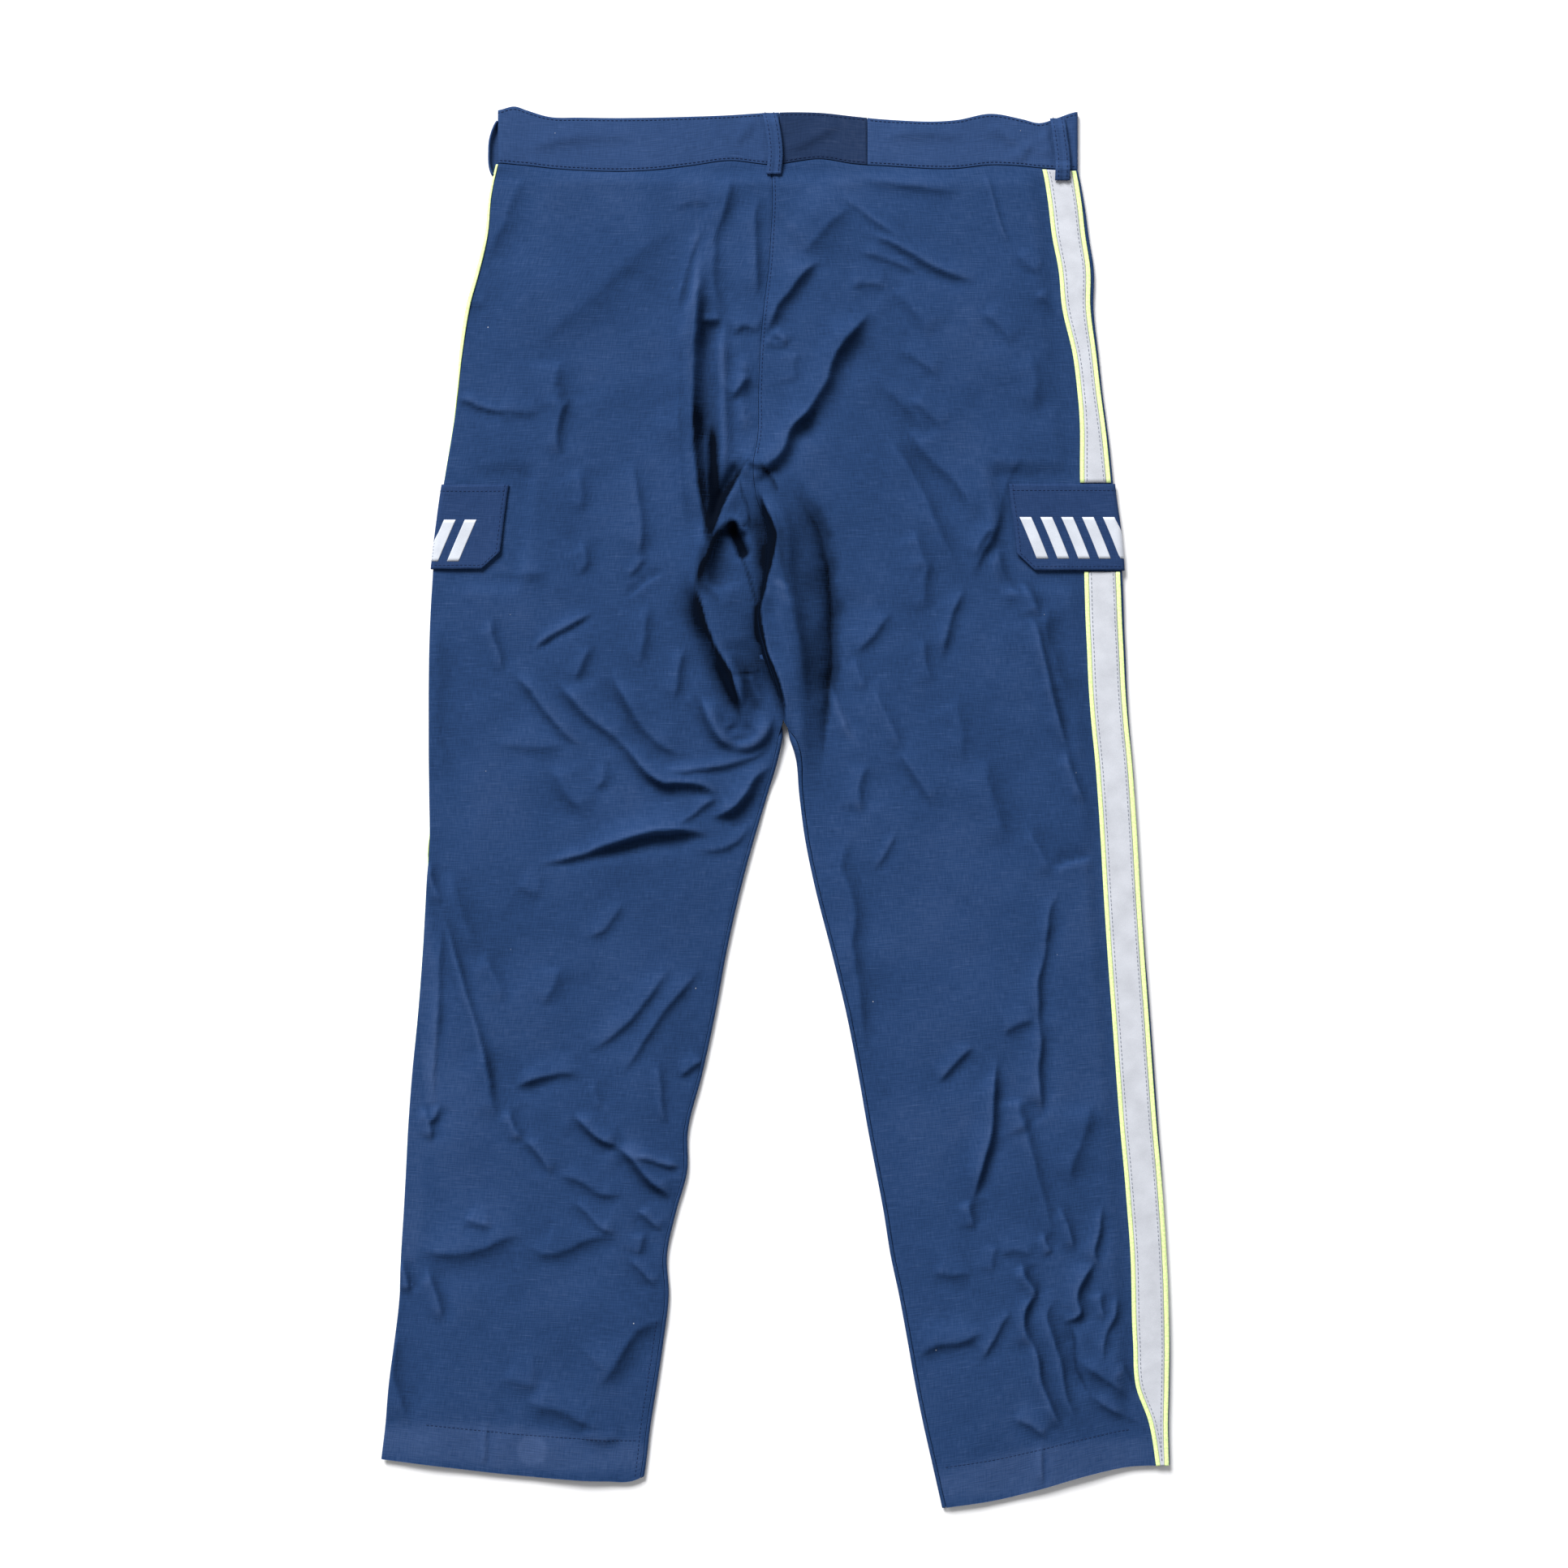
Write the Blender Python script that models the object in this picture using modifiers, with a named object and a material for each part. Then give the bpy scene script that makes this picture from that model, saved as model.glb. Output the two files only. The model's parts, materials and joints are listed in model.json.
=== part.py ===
"""Navy uniform trousers with reflective side stripes, laid flat and seen from the back.

The waist points to +Y, the wearer's left side to -X, and +Z is up. The front of the
trousers lies on the surface at z = 0 and the back lies on the front. The origin is the
middle of the footprint. The tables hold millimetres; the meshes are in metres.
"""

import math
from collections import namedtuple

import bmesh
import bpy
import numpy as np

MM = 0.001

# Cloth and seams, in millimetres
WALL = 1.0
BAND_WALL = 1.8
FLAP_WALL = 1.2
LOOP_WALL = 1.2
TAPE_WALL = 1.0
PIPING_WALL = 1.2
PIPING_WIDTH = 3.0
SEAM_GAP = 0.3
LIE = 0.4
FLAP_LIE = 0.5
INSEAM_GAP = 0.8
WAIST_GAP = 0.8

# Heights of the two layers that lie on each other
TOP = 4.6
TOP_LEAST = 3.4
EDGE_RADIUS = 2.0
EDGE_QUARTER = 3.4
UNDER_LIFT = FLAP_LIE + FLAP_WALL

# Places along the length, as Y
WAIST_Y = 495.0
CROTCH_Y = 235.0
HEM_Y = -510.0
HEM_BLEND_Y = 200.0

# How fine the grids are
LEG_ROWS = 42
BACK_COLUMNS = 16
FRONT_COLUMNS = 11
CURL_COLUMNS = 5

Section = namedtuple("Section", "y left_out left_in right_in right_out")
SECTIONS = [
    Section(500, -212, -3.0, -3.0, 231),
    Section(495, -213.4, -3.0, -3.0, 232.5),
    Section(470, -219, -2.3, -2.3, 237.3),
    Section(440, -222.3, -3.5, -3.5, 241),
    Section(412, -229.5, -5.6, -5.6, 245),
    Section(385, -237, -8.8, -8.8, 244.6),
    Section(350, -241.8, -11.8, -11.8, 248.2),
    Section(320, -243.8, -13, -13, 251.4),
    Section(285, -249, -13.5, -13.5, 256),
    Section(262, -252.9, -17, -17, 258.4),
    Section(240, -256.5, -15.5, -14.5, 260.6),
    Section(215, -259.8, -8, -7, 264),
    Section(190, -262.6, -7.5, -6.5, 266.2),
    Section(165, -264.4, -11, -10, 267.4),
    Section(144, -265.5, -13.5, -12.5, 268.1),
    Section(120, -266.2, -8, -7, 269.2),
    Section(90, -266.6, 0.5, 1.5, 270.4),
    Section(62, -266.6, 5.6, 8.5, 272.2),
    Section(40, -266.6, 2.8, 15, 274.2),
    Section(10, -266.3, -6, 18.2, 276.3),
    Section(-25, -266, -16.5, 22.8, 278.5),
    Section(-60, -268.3, -26, 30, 280.6),
    Section(-110, -271.2, -37.3, 42.8, 284.2),
    Section(-160, -275, -46.5, 54.8, 288.2),
    Section(-205, -279.4, -56.2, 63.6, 291.5),
    Section(-250, -282.7, -67.4, 71.5, 294.7),
    Section(-280, -284.2, -67.8, 77.3, 297),
    Section(-310, -285.8, -76, 83, 298.5),
    Section(-345, -288, -83.4, 88.6, 300.3),
    Section(-375, -289, -82, 95, 302),
    Section(-410, -292.9, -86, 101.5, 303.4),
    Section(-445, -297.4, -91.2, 107.7, 303.2),
    Section(-475, -300, -96, 113.8, 302.6),
    Section(-505, -303.6, -99.5, 120.6, 303.4),
    Section(-545, -308, -106, 129.6, 304.4),
]

Waist = namedtuple("Waist", "x seam top")
WAIST = [
    Waist(-222, 495, 535),
    Waist(-212, 495, 536),
    Waist(-200, 494, 538.6),
    Waist(-191, 493.2, 535.6),
    Waist(-175, 491.4, 530.8),
    Waist(-150, 489.4, 530),
    Waist(-97, 489.4, 530),
    Waist(-66, 493, 530.8),
    Waist(-35, 497, 531.9),
    Waist(-5, 494, 533.8),
    Waist(37, 498.2, 533.5),
    Waist(60, 494.6, 531),
    Waist(84, 493, 528.6),
    Waist(140, 491, 528.3),
    Waist(165, 493.6, 533),
    Waist(190, 492.8, 528.8),
    Waist(203, 491.4, 525.8),
    Waist(216, 490.6, 529.5),
    Waist(231, 490, 534.4),
    Waist(240, 490, 535),
]

Hem = namedtuple("Hem", "share drop")
LEFT_HEM = [Hem(0, 0), Hem(0.17, 1.8), Hem(0.5, 5.2), Hem(0.86, 5.3), Hem(0.95, 4.2), Hem(1, 0)]
RIGHT_HEM = [Hem(0, 0), Hem(0.19, -5), Hem(0.34, -4.6), Hem(0.58, -0.4), Hem(0.72, 1.4), Hem(1, 0)]

Stripe = namedtuple("Stripe", "y back width")
LEFT_STRIPE = [
    Stripe(500, 3.0, 28),
    Stripe(330, 2.4, 28),
    Stripe(290, 0.5, 28),
    Stripe(180, -2.0, 28),
    Stripe(-20, 1.0, 28),
    Stripe(-60, 2.0, 28),
    Stripe(-120, 0.0, 28),
    Stripe(-260, 1.6, 28),
    Stripe(-330, -1.0, 28),
    Stripe(-515, -1.0, 28),
]
RIGHT_STRIPE = [
    Stripe(500, 29.0, 25.5),
    Stripe(412, 28.6, 24),
    Stripe(385, 25.8, 21.5),
    Stripe(345, 21.0, 17.5),
    Stripe(315, 20.8, 17.5),
    Stripe(254, 26.4, 23),
    Stripe(183, 30.6, 27),
    Stripe(120, 31.0, 27.6),
    Stripe(22, 30.0, 27.6),
    Stripe(-284, 30.2, 27.6),
    Stripe(-341, 28.8, 27.4),
    Stripe(-410, 30.2, 27.6),
    Stripe(-445, 28.0, 25.2),
    Stripe(-475, 17.4, 14.6),
    Stripe(-515, 11.8, 9.0),
]

# The pocket flaps: reach over the back and round the edge, top and bottom, cut corner
Flap = namedtuple("Flap", "back front top bottom corner")
LEFT_FLAP = Flap(back=52, front=-106, top=248, bottom=183, corner=13)
RIGHT_FLAP = Flap(back=82, front=-76, top=248.5, bottom=182, corner=13)

Mound = namedtuple("Mound", "x y reach_x reach_y height")
MOUNDS = [
    Mound(-42, 190, 34, 85, 6.5),
    Mound(14, 175, 26, 95, 5.5),
    Mound(-18, 262, 34, 34, 6.0),
    Mound(-70, 320, 60, 90, 2.0),
    Mound(70, 380, 80, 70, 1.5),
    Mound(-140, 20, 90, 90, 1.5),
    Mound(150, 150, 70, 120, 1.2),
    Mound(-190, -300, 60, 110, 1.2),
    Mound(220, -400, 45, 80, 2.0),
]

# Main folds: a raised or sunk line through a few points, with its reach to each side
Fold = namedtuple("Fold", "name height reach lean points")
FOLDS = [
    Fold("seat gully", -6.0, 9, 0.0, [(-45, 380), (-56, 355), (-60, 309), (-56, 272), (-50, 225)]),
    Fold("seat pleat outer", 4.0, 9, 0.2, [(-68, 375), (-72, 300), (-70, 240), (-74, 190)]),
    Fold("seat pleat inner", 5.0, 9, -0.2, [(-42, 355), (-43, 305), (-38, 268)]),
    Fold("pouch ridge", 9.0, 9, 0.3, [(-20, 262), (-34, 240), (-48, 214), (-61, 175), (-57, 152),
                                      (-44, 124), (-32, 96), (-26, 66)]),
    Fold("pouch hollow", -6.0, 10, 0.0, [(-32, 224), (-28, 200), (-24, 168)]),
    Fold("pouch outer shade", -4.5, 9, 0.0, [(-70, 165), (-56, 125), (-42, 96), (-34, 70)]),
    Fold("pouch foot", 4.0, 9, 0.0, [(-62, 90), (-52, 52), (-30, 36), (-8, 46), (-2, 80)]),
    Fold("inner thigh ridge", 6.5, 9, -0.3, [(-10, 258), (-1, 228), (4, 190), (8, 150), (18, 104),
                                             (23, 55), (26, 0)]),
    Fold("inner thigh gully", -5.0, 9, 0.0, [(8, 246), (20, 215), (32, 176), (36, 140), (34, 85),
                                             (32, 25), (34, -20)]),
    Fold("seat drape right", 5.0, 10, 0.4, [(76, 386), (58, 368), (43, 328), (26, 300), (-6, 266)]),
    Fold("seat drape lower", -4.0, 9, 0.0, [(-14, 254), (6, 262), (20, 282), (34, 300)]),
    Fold("hip drape right", 4.0, 10, 0.4, [(54, 462), (35, 425), (17, 402), (-1, 366)]),
    Fold("hip fold right", 4.0, 10, 0.4, [(74, 437), (120, 416), (164, 396)]),
    Fold("thigh pull left", 4.0, 10, 0.4, [(-168, 93), (-135, 60), (-103, 29), (-78, 18), (-45, 6)]),
    Fold("knee fold left", 6.0, 11, 0.5, [(-190, -47), (-128, -32), (-85, -20), (-48, -21)]),
    Fold("thigh crease left", 3.0, 10, 0.3, [(-185, 122), (-139, 151), (-85, 184)]),
    Fold("shin fold left", 4.0, 10, 0.4, [(-264, -32), (-253, -72), (-238, -122), (-221, -195),
                                         (-214, -240)]),
    Fold("calf fold left", 3.5, 10, 0.3, [(-205, -231), (-178, -210), (-147, -206)]),
    Fold("calf pull left", 4.5, 10, 0.5, [(-153, -234), (-121, -263), (-97, -288), (-78, -302)]),
    Fold("hem fold left", 2.5, 12, 0.0, [(-194, -454), (-166, -463), (-125, -486)]),
    Fold("thigh pull right", 4.0, 11, 0.3, [(188, 268), (160, 206), (141, 154), (128, 110)]),
    Fold("thigh fold right", 4.0, 10, 0.4, [(188, 148), (208, 99), (217, 71), (227, 26)]),
    Fold("shin fold right", 4.0, 10, 0.4, [(222, -60), (210, -90), (204, -128), (203, -165),
                                          (205, -236)]),
    Fold("calf pull right", 4.0, 10, 0.4, [(171, -218), (168, -249), (161, -276), (150, -309),
                                          (156, -326)]),
    Fold("ankle fold right", 4.5, 10, 0.3, [(190, -348), (202, -374), (191, -386), (203, -419),
                                           (207, -452), (219, -478)]),
    Fold("ankle tuck right", 3.5, 10, 0.3, [(246, -345), (236, -366), (236, -384), (216, -397)]),
    Fold("hem tuck right", 3.0, 10, 0.0, [(228, -399), (233, -439), (232, -475)]),
    Fold("inner leg valley right", -1.6, 12, 0.0, [(56, -28), (64, -128), (67, -195)]),
]

# Belt loops: middle line of each upright loop, and the one that stands out at the left edge
LOOP_WIDTH = 11.0
LOOP_RISE = 2.2
SIDE_LOOP_BULGE = 6.0
CENTRE_LOOP = [(-4.5, 533.2), (-1.5, 518), (0.0, 503), (-1.2, 486)]
RIGHT_LOOP = [(216.5, 529.0), (218.3, 515), (220.3, 500), (220.3, 481.5)]

# Waistband
BAND_TOP = 5.6
BAND_RADIUS = 2.7
BAND_QUARTER = 4.3
BAND_LEFT_X = -213.4
BAND_RIGHT_X = 232.5
INSERT_LEFT_X = 3.0
INSERT_RIGHT_X = 70.5
FLY_X = 6.0

Leg = namedtuple("Leg", "side outer inner hem_outer hem_inner hem stripe flap")

Material = namedtuple("Material", "name colour roughness")
NAVY = Material("navy cloth", (0.024, 0.047, 0.13, 1), 0.75)
DARK = Material("dark insert cloth", (0.010, 0.016, 0.045, 1), 0.8)
TAPE = Material("reflective tape", (0.56, 0.58, 0.62, 1), 0.4)
NEON = Material("neon piping", (0.68, 1.0, 0.08, 1), 0.5)


def step(value):
    """Run smoothly from 0 to 1 as the value does."""
    value = np.clip(value, 0.0, 1.0)
    return value * value * (3.0 - 2.0 * value)


def smooth(at, known, values):
    """Read a smooth curve that passes through the known points."""
    known = np.asarray(known, float)
    values = np.asarray(values, float)
    slope = np.gradient(values, known)
    i = np.clip(np.searchsorted(known, at) - 1, 0, len(known) - 2)
    width = known[i + 1] - known[i]
    u = (at - known[i]) / width
    start = (1 + 2 * u) * (1 - u) ** 2 * values[i] + u * (1 - u) ** 2 * width * slope[i]
    end = u * u * (3 - 2 * u) * values[i + 1] + u * u * (u - 1) * width * slope[i + 1]
    return start + end


def column(table, name):
    """One named column of a table."""
    return [getattr(row, name) for row in table]


def waist_seam(x, upper):
    """Y of the waist seam: it waves on the upper layer and runs straight on the lower one."""
    known = column(WAIST, "x")
    straight = np.interp(x, [BAND_LEFT_X, BAND_RIGHT_X], [WAIST_Y, WAIST_Y - 5])
    return np.where(upper, smooth(x, known, column(WAIST, "seam")), straight)


def section(name, y):
    """X of one outline curve at a height along the leg."""
    return smooth(-np.asarray(y, float), [-row.y for row in SECTIONS], column(SECTIONS, name))


def stripe_edges(leg, y):
    """Back edge and front edge of the side stripe, measured round the cloth from the fold."""
    known = [-row.y for row in leg.stripe]
    back = smooth(-y, known, column(leg.stripe, "back"))
    return back, back - smooth(-y, known, column(leg.stripe, "width"))


def spread(low, high, count, middle, reach, crowding):
    """Places from low to high that stand closer together round the middle."""
    fine = np.linspace(low, high, 400)
    weight = 1.0 + crowding * np.exp(-(((fine - middle) / reach) ** 2))
    total = np.concatenate([[0.0], np.cumsum((weight[1:] + weight[:-1]) / 2)])
    return np.interp(np.linspace(0, total[-1], count), total, fine)


def fold_line(points, count=28):
    """A smooth line through a fold's few points."""
    points = np.asarray(points, float)
    along = np.concatenate([[0.0], np.cumsum(np.hypot(*np.diff(points, axis=0).T))])
    at = np.linspace(0, along[-1], count)
    return smooth(at, along, points[:, 0]), smooth(at, along, points[:, 1])


def fold_height(x, y, fold):
    """Height that one fold adds: round across, faded at both ends, steeper on one side."""
    line_x, line_y = fold_line(fold.points)
    nearest = np.full(np.shape(x), 1e9)
    side = np.zeros(np.shape(x))
    place = np.zeros(np.shape(x))
    last = len(line_x) - 1
    for i in range(last):
        run_x, run_y = line_x[i + 1] - line_x[i], line_y[i + 1] - line_y[i]
        length = run_x * run_x + run_y * run_y
        u = np.clip(((x - line_x[i]) * run_x + (y - line_y[i]) * run_y) / length, 0, 1)
        away_x, away_y = x - line_x[i] - u * run_x, y - line_y[i] - u * run_y
        distance = np.hypot(away_x, away_y)
        closer = distance < nearest
        nearest = np.where(closer, distance, nearest)
        side = np.where(closer, np.sign(run_x * away_y - run_y * away_x), side)
        place = np.where(closer, (i + u) / last, place)
    reach = fold.reach * (1 + fold.lean * side)
    fade = step(place / 0.25) * step((1 - place) / 0.25)
    return fold.height * fade * np.exp(-((nearest / reach) ** 2))


def top(x, y):
    """Height of the upper layer over the surface, folds included."""
    rise = np.zeros(np.shape(x))
    for mound in MOUNDS:
        away = ((x - mound.x) / mound.reach_x) ** 2 + ((y - mound.y) / mound.reach_y) ** 2
        rise = rise + mound.height * np.exp(-away)
    for fold in FOLDS:
        rise = rise + fold_height(x, y, fold)
    calm = step((WAIST_Y - 4 - y) / 30) * (1 - 0.85 * step((x - section("right_out", y) + 52) / 16))
    beside_flap = step((y - 160) / 16) * step((270 - y) / 16)
    edge = np.minimum(x - section("left_out", y) + 26, section("right_out", y) - x)
    calm = calm * (1 - 0.85 * beside_flap * step((104 - edge) / 14))
    rise = rise * calm
    spare = TOP - TOP_LEAST
    return TOP_LEAST + np.logaddexp(0, (rise + spare) / 0.9) * 0.9


def plan(leg, row, away, upper=True):
    """X and Y of a place that lies some way in from the leg's outer fold, on one row."""
    drift = step((HEM_BLEND_Y - row) / (HEM_BLEND_Y - HEM_Y))
    outer_y = row + drift * (leg.hem_outer - HEM_Y)
    inner_y = row + drift * (leg.hem_inner - HEM_Y)
    outer_x, inner_x = section(leg.outer, outer_y), section(leg.inner, inner_y)
    share = away / np.hypot(inner_x - outer_x, inner_y - outer_y)
    x = outer_x + (inner_x - outer_x) * share
    y = outer_y + (inner_y - outer_y) * share
    waist = waist_seam(x, upper) - WAIST_GAP / 2 - WAIST_Y
    hem = smooth(np.clip(share, 0, 1), column(leg.hem, "share"), column(leg.hem, "drop"))
    y = y + step((row - 415) / (WAIST_Y - 415)) * waist - step((-435 - row) / (-435 - HEM_Y)) * hem
    return x, y


def leg_width(leg, row):
    """Flat width of the leg on one row, from the outer fold to the inner one."""
    drift = step((HEM_BLEND_Y - row) / (HEM_BLEND_Y - HEM_Y))
    outer_y = row + drift * (leg.hem_outer - HEM_Y)
    inner_y = row + drift * (leg.hem_inner - HEM_Y)
    return np.hypot(section(leg.inner, inner_y) - section(leg.outer, outer_y), inner_y - outer_y)


def under(leg, row, around):
    """Height of the lower layer: lifted only where a stripe or flap lies below it."""
    back, front = stripe_edges(leg, row)
    stripe = step((around - front + 48) / 20) * step(-front / 5)
    rows = step((row - leg.flap.bottom + 44) / 16) * step((leg.flap.top + 44 - row) / 16)
    flap = step((around - leg.flap.front + 56) / 20) * rows
    return UNDER_LIFT * np.maximum(stripe, flap)


def ring(leg, row, around):
    """A point of the leg's cloth. Around is the way round from the outer fold, plus on top."""
    turn = np.clip(around / EDGE_QUARTER, -1, 1) * math.pi / 2
    past = np.maximum(np.abs(around) - EDGE_QUARTER, 0)
    x, y = plan(leg, row, EDGE_RADIUS * (1 - np.cos(turn)) + past, around >= 0)
    high = top(*plan(leg, row, EDGE_RADIUS + past))
    low = under(leg, row, -np.maximum(np.abs(around), EDGE_QUARTER))
    z = (high + low) / 2 + (high - low) / 2 * np.sin(turn)
    return np.stack([x, y, z], axis=-1)


def leg_rows():
    """Rows down the leg, closer together round the crotch."""
    return spread(WAIST_Y, HEM_Y, LEG_ROWS, 170, 190, 1.1)


def inner_turn(leg, row):
    """How far the legs have parted, and the half width of the leg's inner fold."""
    parted = step((CROTCH_Y + 9 - row) / 18)
    high = top(*plan(leg, row, leg_width(leg, row) - 3))
    return parted, np.clip(0.36 * high, 2.0, 5.5)


def around_at(away):
    """The way round the cloth to a place some way in from the outer fold."""
    return away - EDGE_RADIUS + EDGE_QUARTER


def back_panel(leg):
    """Points of a back panel, from the side seam over the top to the centre seam or inseam."""
    rows = []
    for row in leg_rows():
        parted, turn = inner_turn(leg, row)
        back, front = stripe_edges(leg, row)
        low = (back + front) / 2 + SEAM_GAP / 2
        gap = SEAM_GAP + parted * (INSEAM_GAP - SEAM_GAP)
        high = around_at(leg_width(leg, row) - parted * (turn + 1.0) - gap / 2)
        inside = spread(low + 2, high - 2, BACK_COLUMNS - 2, 0, EDGE_QUARTER, 9)
        rows.append(ring(leg, row, np.concatenate([[low], inside, [high]])))
    return np.array(rows)


def front_panel(leg):
    """Points of a front panel, from the side seam under the leg, then up round its inner fold."""
    rows = []
    curl = np.linspace(0, 1, CURL_COLUMNS + 1)[1:]
    for row in leg_rows():
        parted, turn = inner_turn(leg, row)
        width = leg_width(leg, row)
        back, front = stripe_edges(leg, row)
        low = (back + front) / 2 - SEAM_GAP / 2
        flat_end = width - turn - 3.0
        inside = spread(low - 2, -around_at(flat_end), FRONT_COLUMNS - 1, 0, EDGE_QUARTER, 12)
        flat = ring(leg, row, np.concatenate([[low], inside]))
        level = ring(leg, row, -around_at(flat_end + curl * (turn + 3.0 - SEAM_GAP / 2)))
        angle = np.clip((curl - 0.12) / 0.76, 0, 1) * math.pi - math.pi / 2
        away = width - turn + turn * np.cos(angle)
        away = np.where(curl == 1, width - turn - 1.0 + SEAM_GAP / 2, away)
        x, y = plan(leg, row, away)
        high = top(*plan(leg, row, width - turn - 1.0))
        round_up = np.stack([x, y, high * (1 + np.sin(angle)) / 2], axis=-1)
        rows.append(np.concatenate([flat, level + parted * (round_up - level)]))
    return np.array(rows)


def strip(leg, first, last, edges, columns):
    """Points on the leg below a lengthwise strip; edges gives its two sides on each row."""
    rows = [row for row in leg_rows() if last + 4 < row < first - 4]
    grid = []
    for row in [first] + rows + [last]:
        low, high = edges(*stripe_edges(leg, row))
        grid.append(ring(leg, row, spread(low, high, columns, 0, EDGE_QUARTER, 4)))
    return np.array(grid)


def tape_edges(back, front):
    """Sides of the tape, between its two pipings."""
    border = PIPING_WIDTH + SEAM_GAP
    return front + border, back - border


def back_piping_edges(back, front):
    """Sides of the piping behind the tape."""
    return back - PIPING_WIDTH, back


def front_piping_edges(back, front):
    """Sides of the piping in front of the tape."""
    return front, front + PIPING_WIDTH


def flap_points(leg):
    """Points on the leg below a pocket flap, with its two lower corners cut off."""
    flap = leg.flap
    around = spread(flap.front, flap.back, 16, 0, EDGE_QUARTER, 9)
    to_corner = np.minimum(around - flap.front, flap.back - around)
    bottom = flap.bottom + np.clip(flap.corner - to_corner, 0, flap.corner)
    return np.array([
        ring(leg, flap.top + (bottom - flap.top) * share, around)
        for share in np.linspace(0, 1, 6)
    ])


def band_point(side, up, around):
    """A point of the waistband. Around runs from its side fold, plus on the upper layer."""
    edge_x = BAND_LEFT_X if side < 0 else BAND_RIGHT_X
    turn = np.clip(around / BAND_QUARTER, -1, 1) * math.pi / 2
    away = BAND_RADIUS * (1 - np.cos(turn)) + np.maximum(np.abs(around) - BAND_QUARTER, 0)
    x = edge_x - side * away
    seam = waist_seam(x, around >= 0) + WAIST_GAP / 2
    y = seam + (smooth(x, column(WAIST, "x"), column(WAIST, "top")) - seam) * up
    low = side_loop_lift(side, around)
    return np.stack([x, y, (BAND_TOP + low) / 2 + (BAND_TOP - low) / 2 * np.sin(turn)], axis=-1)


def side_loop_lift(side, around):
    """Lift of the lower layer beside the left fold, where a belt loop lies under it."""
    return (LIE + LOOP_WALL) * step((around + 54) / 22) * (side < 0)


def band_around(side, x, layer):
    """The way round the waistband to an X on its upper or its lower layer."""
    edge_x = BAND_LEFT_X if side < 0 else BAND_RIGHT_X
    return layer * (side * (edge_x - x) - BAND_RADIUS + BAND_QUARTER)


def band_piece(side, low, high, columns):
    """Points of a waistband piece between two places round it."""
    around = spread(low, high, columns, 0, BAND_QUARTER, 8)
    return np.array([band_point(side, up, around) for up in np.linspace(0, 1, 4)])


def top_surface(x, y):
    """Height of what a belt loop lies on: the waistband, or the panel with its stripe."""
    seam = waist_seam(x, True)
    striped = x > section("right_out", y) - 34
    return np.where(y > seam - 2, BAND_TOP, top(x, y)) + np.where(striped & (y < seam), 1.5, 0)


def loop_points(line):
    """Points of an upright belt loop: both ends sewn down, the middle standing off."""
    line = np.asarray(line, float)
    along = np.concatenate([[0.0], np.cumsum(np.hypot(*np.diff(line, axis=0).T))])
    at = np.linspace(0, along[-1], 10)
    x, y = smooth(at, along, line[:, 0]), smooth(at, along, line[:, 1])
    rise = LOOP_RISE * step(at / 9) * step((along[-1] - at) / 9)
    ground = np.maximum(top_surface(x, y), top_surface(x, y - 4))
    z = np.maximum(ground, top_surface(x, y + 4)) + LIE + rise
    offsets = np.linspace(-LOOP_WIDTH / 2, LOOP_WIDTH / 2, 4)
    return np.array([np.stack([x + offset, y, z], axis=-1) for offset in offsets])


def side_loop_points():
    """Points of the belt loop at the left fold, which bows out past the edge."""
    around = np.linspace(-15, 2.0, 7)
    grid = []
    for share in np.linspace(0, 1, 8):
        base = band_point(-1, 0.96 - 0.93 * share, around)
        bow = SIDE_LOOP_BULGE * math.sin(math.pi * share) ** 0.8
        base[:, 0] -= bow * step((around + 13) / 10)
        grid.append(base)
    return np.array(grid)


def material(look):
    """A plain material with the cloth's colour and roughness."""
    made = bpy.data.materials.get(look.name) or bpy.data.materials.new(look.name)
    made.use_nodes = True
    shader = made.node_tree.nodes["Principled BSDF"]
    shader.inputs["Base Color"].default_value = look.colour
    shader.inputs["Roughness"].default_value = look.roughness
    shader.inputs["Metallic"].default_value = 0.0
    return made


def cloth(collection, name, points, wall, look, lift=0.0):
    """Make one piece: a grid moved onto its points, lifted off what it lies on, then thickened.

    A panel's points are its outer face, so its wall goes inwards. A piece that lies on a
    panel is made from the panel's points moved out, and its wall goes further out.
    """
    points = np.asarray(points, float)
    rows, columns = points.shape[:2]
    mesh = bpy.data.meshes.new(name)
    sheet = bmesh.new()
    bmesh.ops.create_grid(sheet, x_segments=columns - 1, y_segments=rows - 1, size=1.0)
    for vertex in sheet.verts:
        i = round((vertex.co.x + 1) / 2 * (columns - 1))
        j = round((vertex.co.y + 1) / 2 * (rows - 1))
        vertex.co = points[j, i] * MM
    sheet.normal_update()
    middle = TOP / 2 * MM
    if sum(face.normal.z * (face.calc_center_median().z - middle) for face in sheet.faces) < 0:
        bmesh.ops.reverse_faces(sheet, faces=sheet.faces[:])
        sheet.normal_update()
    for vertex in sheet.verts:
        vertex.co += vertex.normal * lift * MM
    for face in sheet.faces:
        face.smooth = True
    sheet.to_mesh(mesh)
    sheet.free()
    piece = bpy.data.objects.new(name, mesh)
    collection.objects.link(piece)
    mesh.materials.append(material(look))
    wall_modifier = piece.modifiers.new("Cloth wall", "SOLIDIFY")
    wall_modifier.thickness = wall * MM
    wall_modifier.offset = 1.0 if lift else -1.0
    wall_modifier.use_even_offset = True
    return piece


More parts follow.
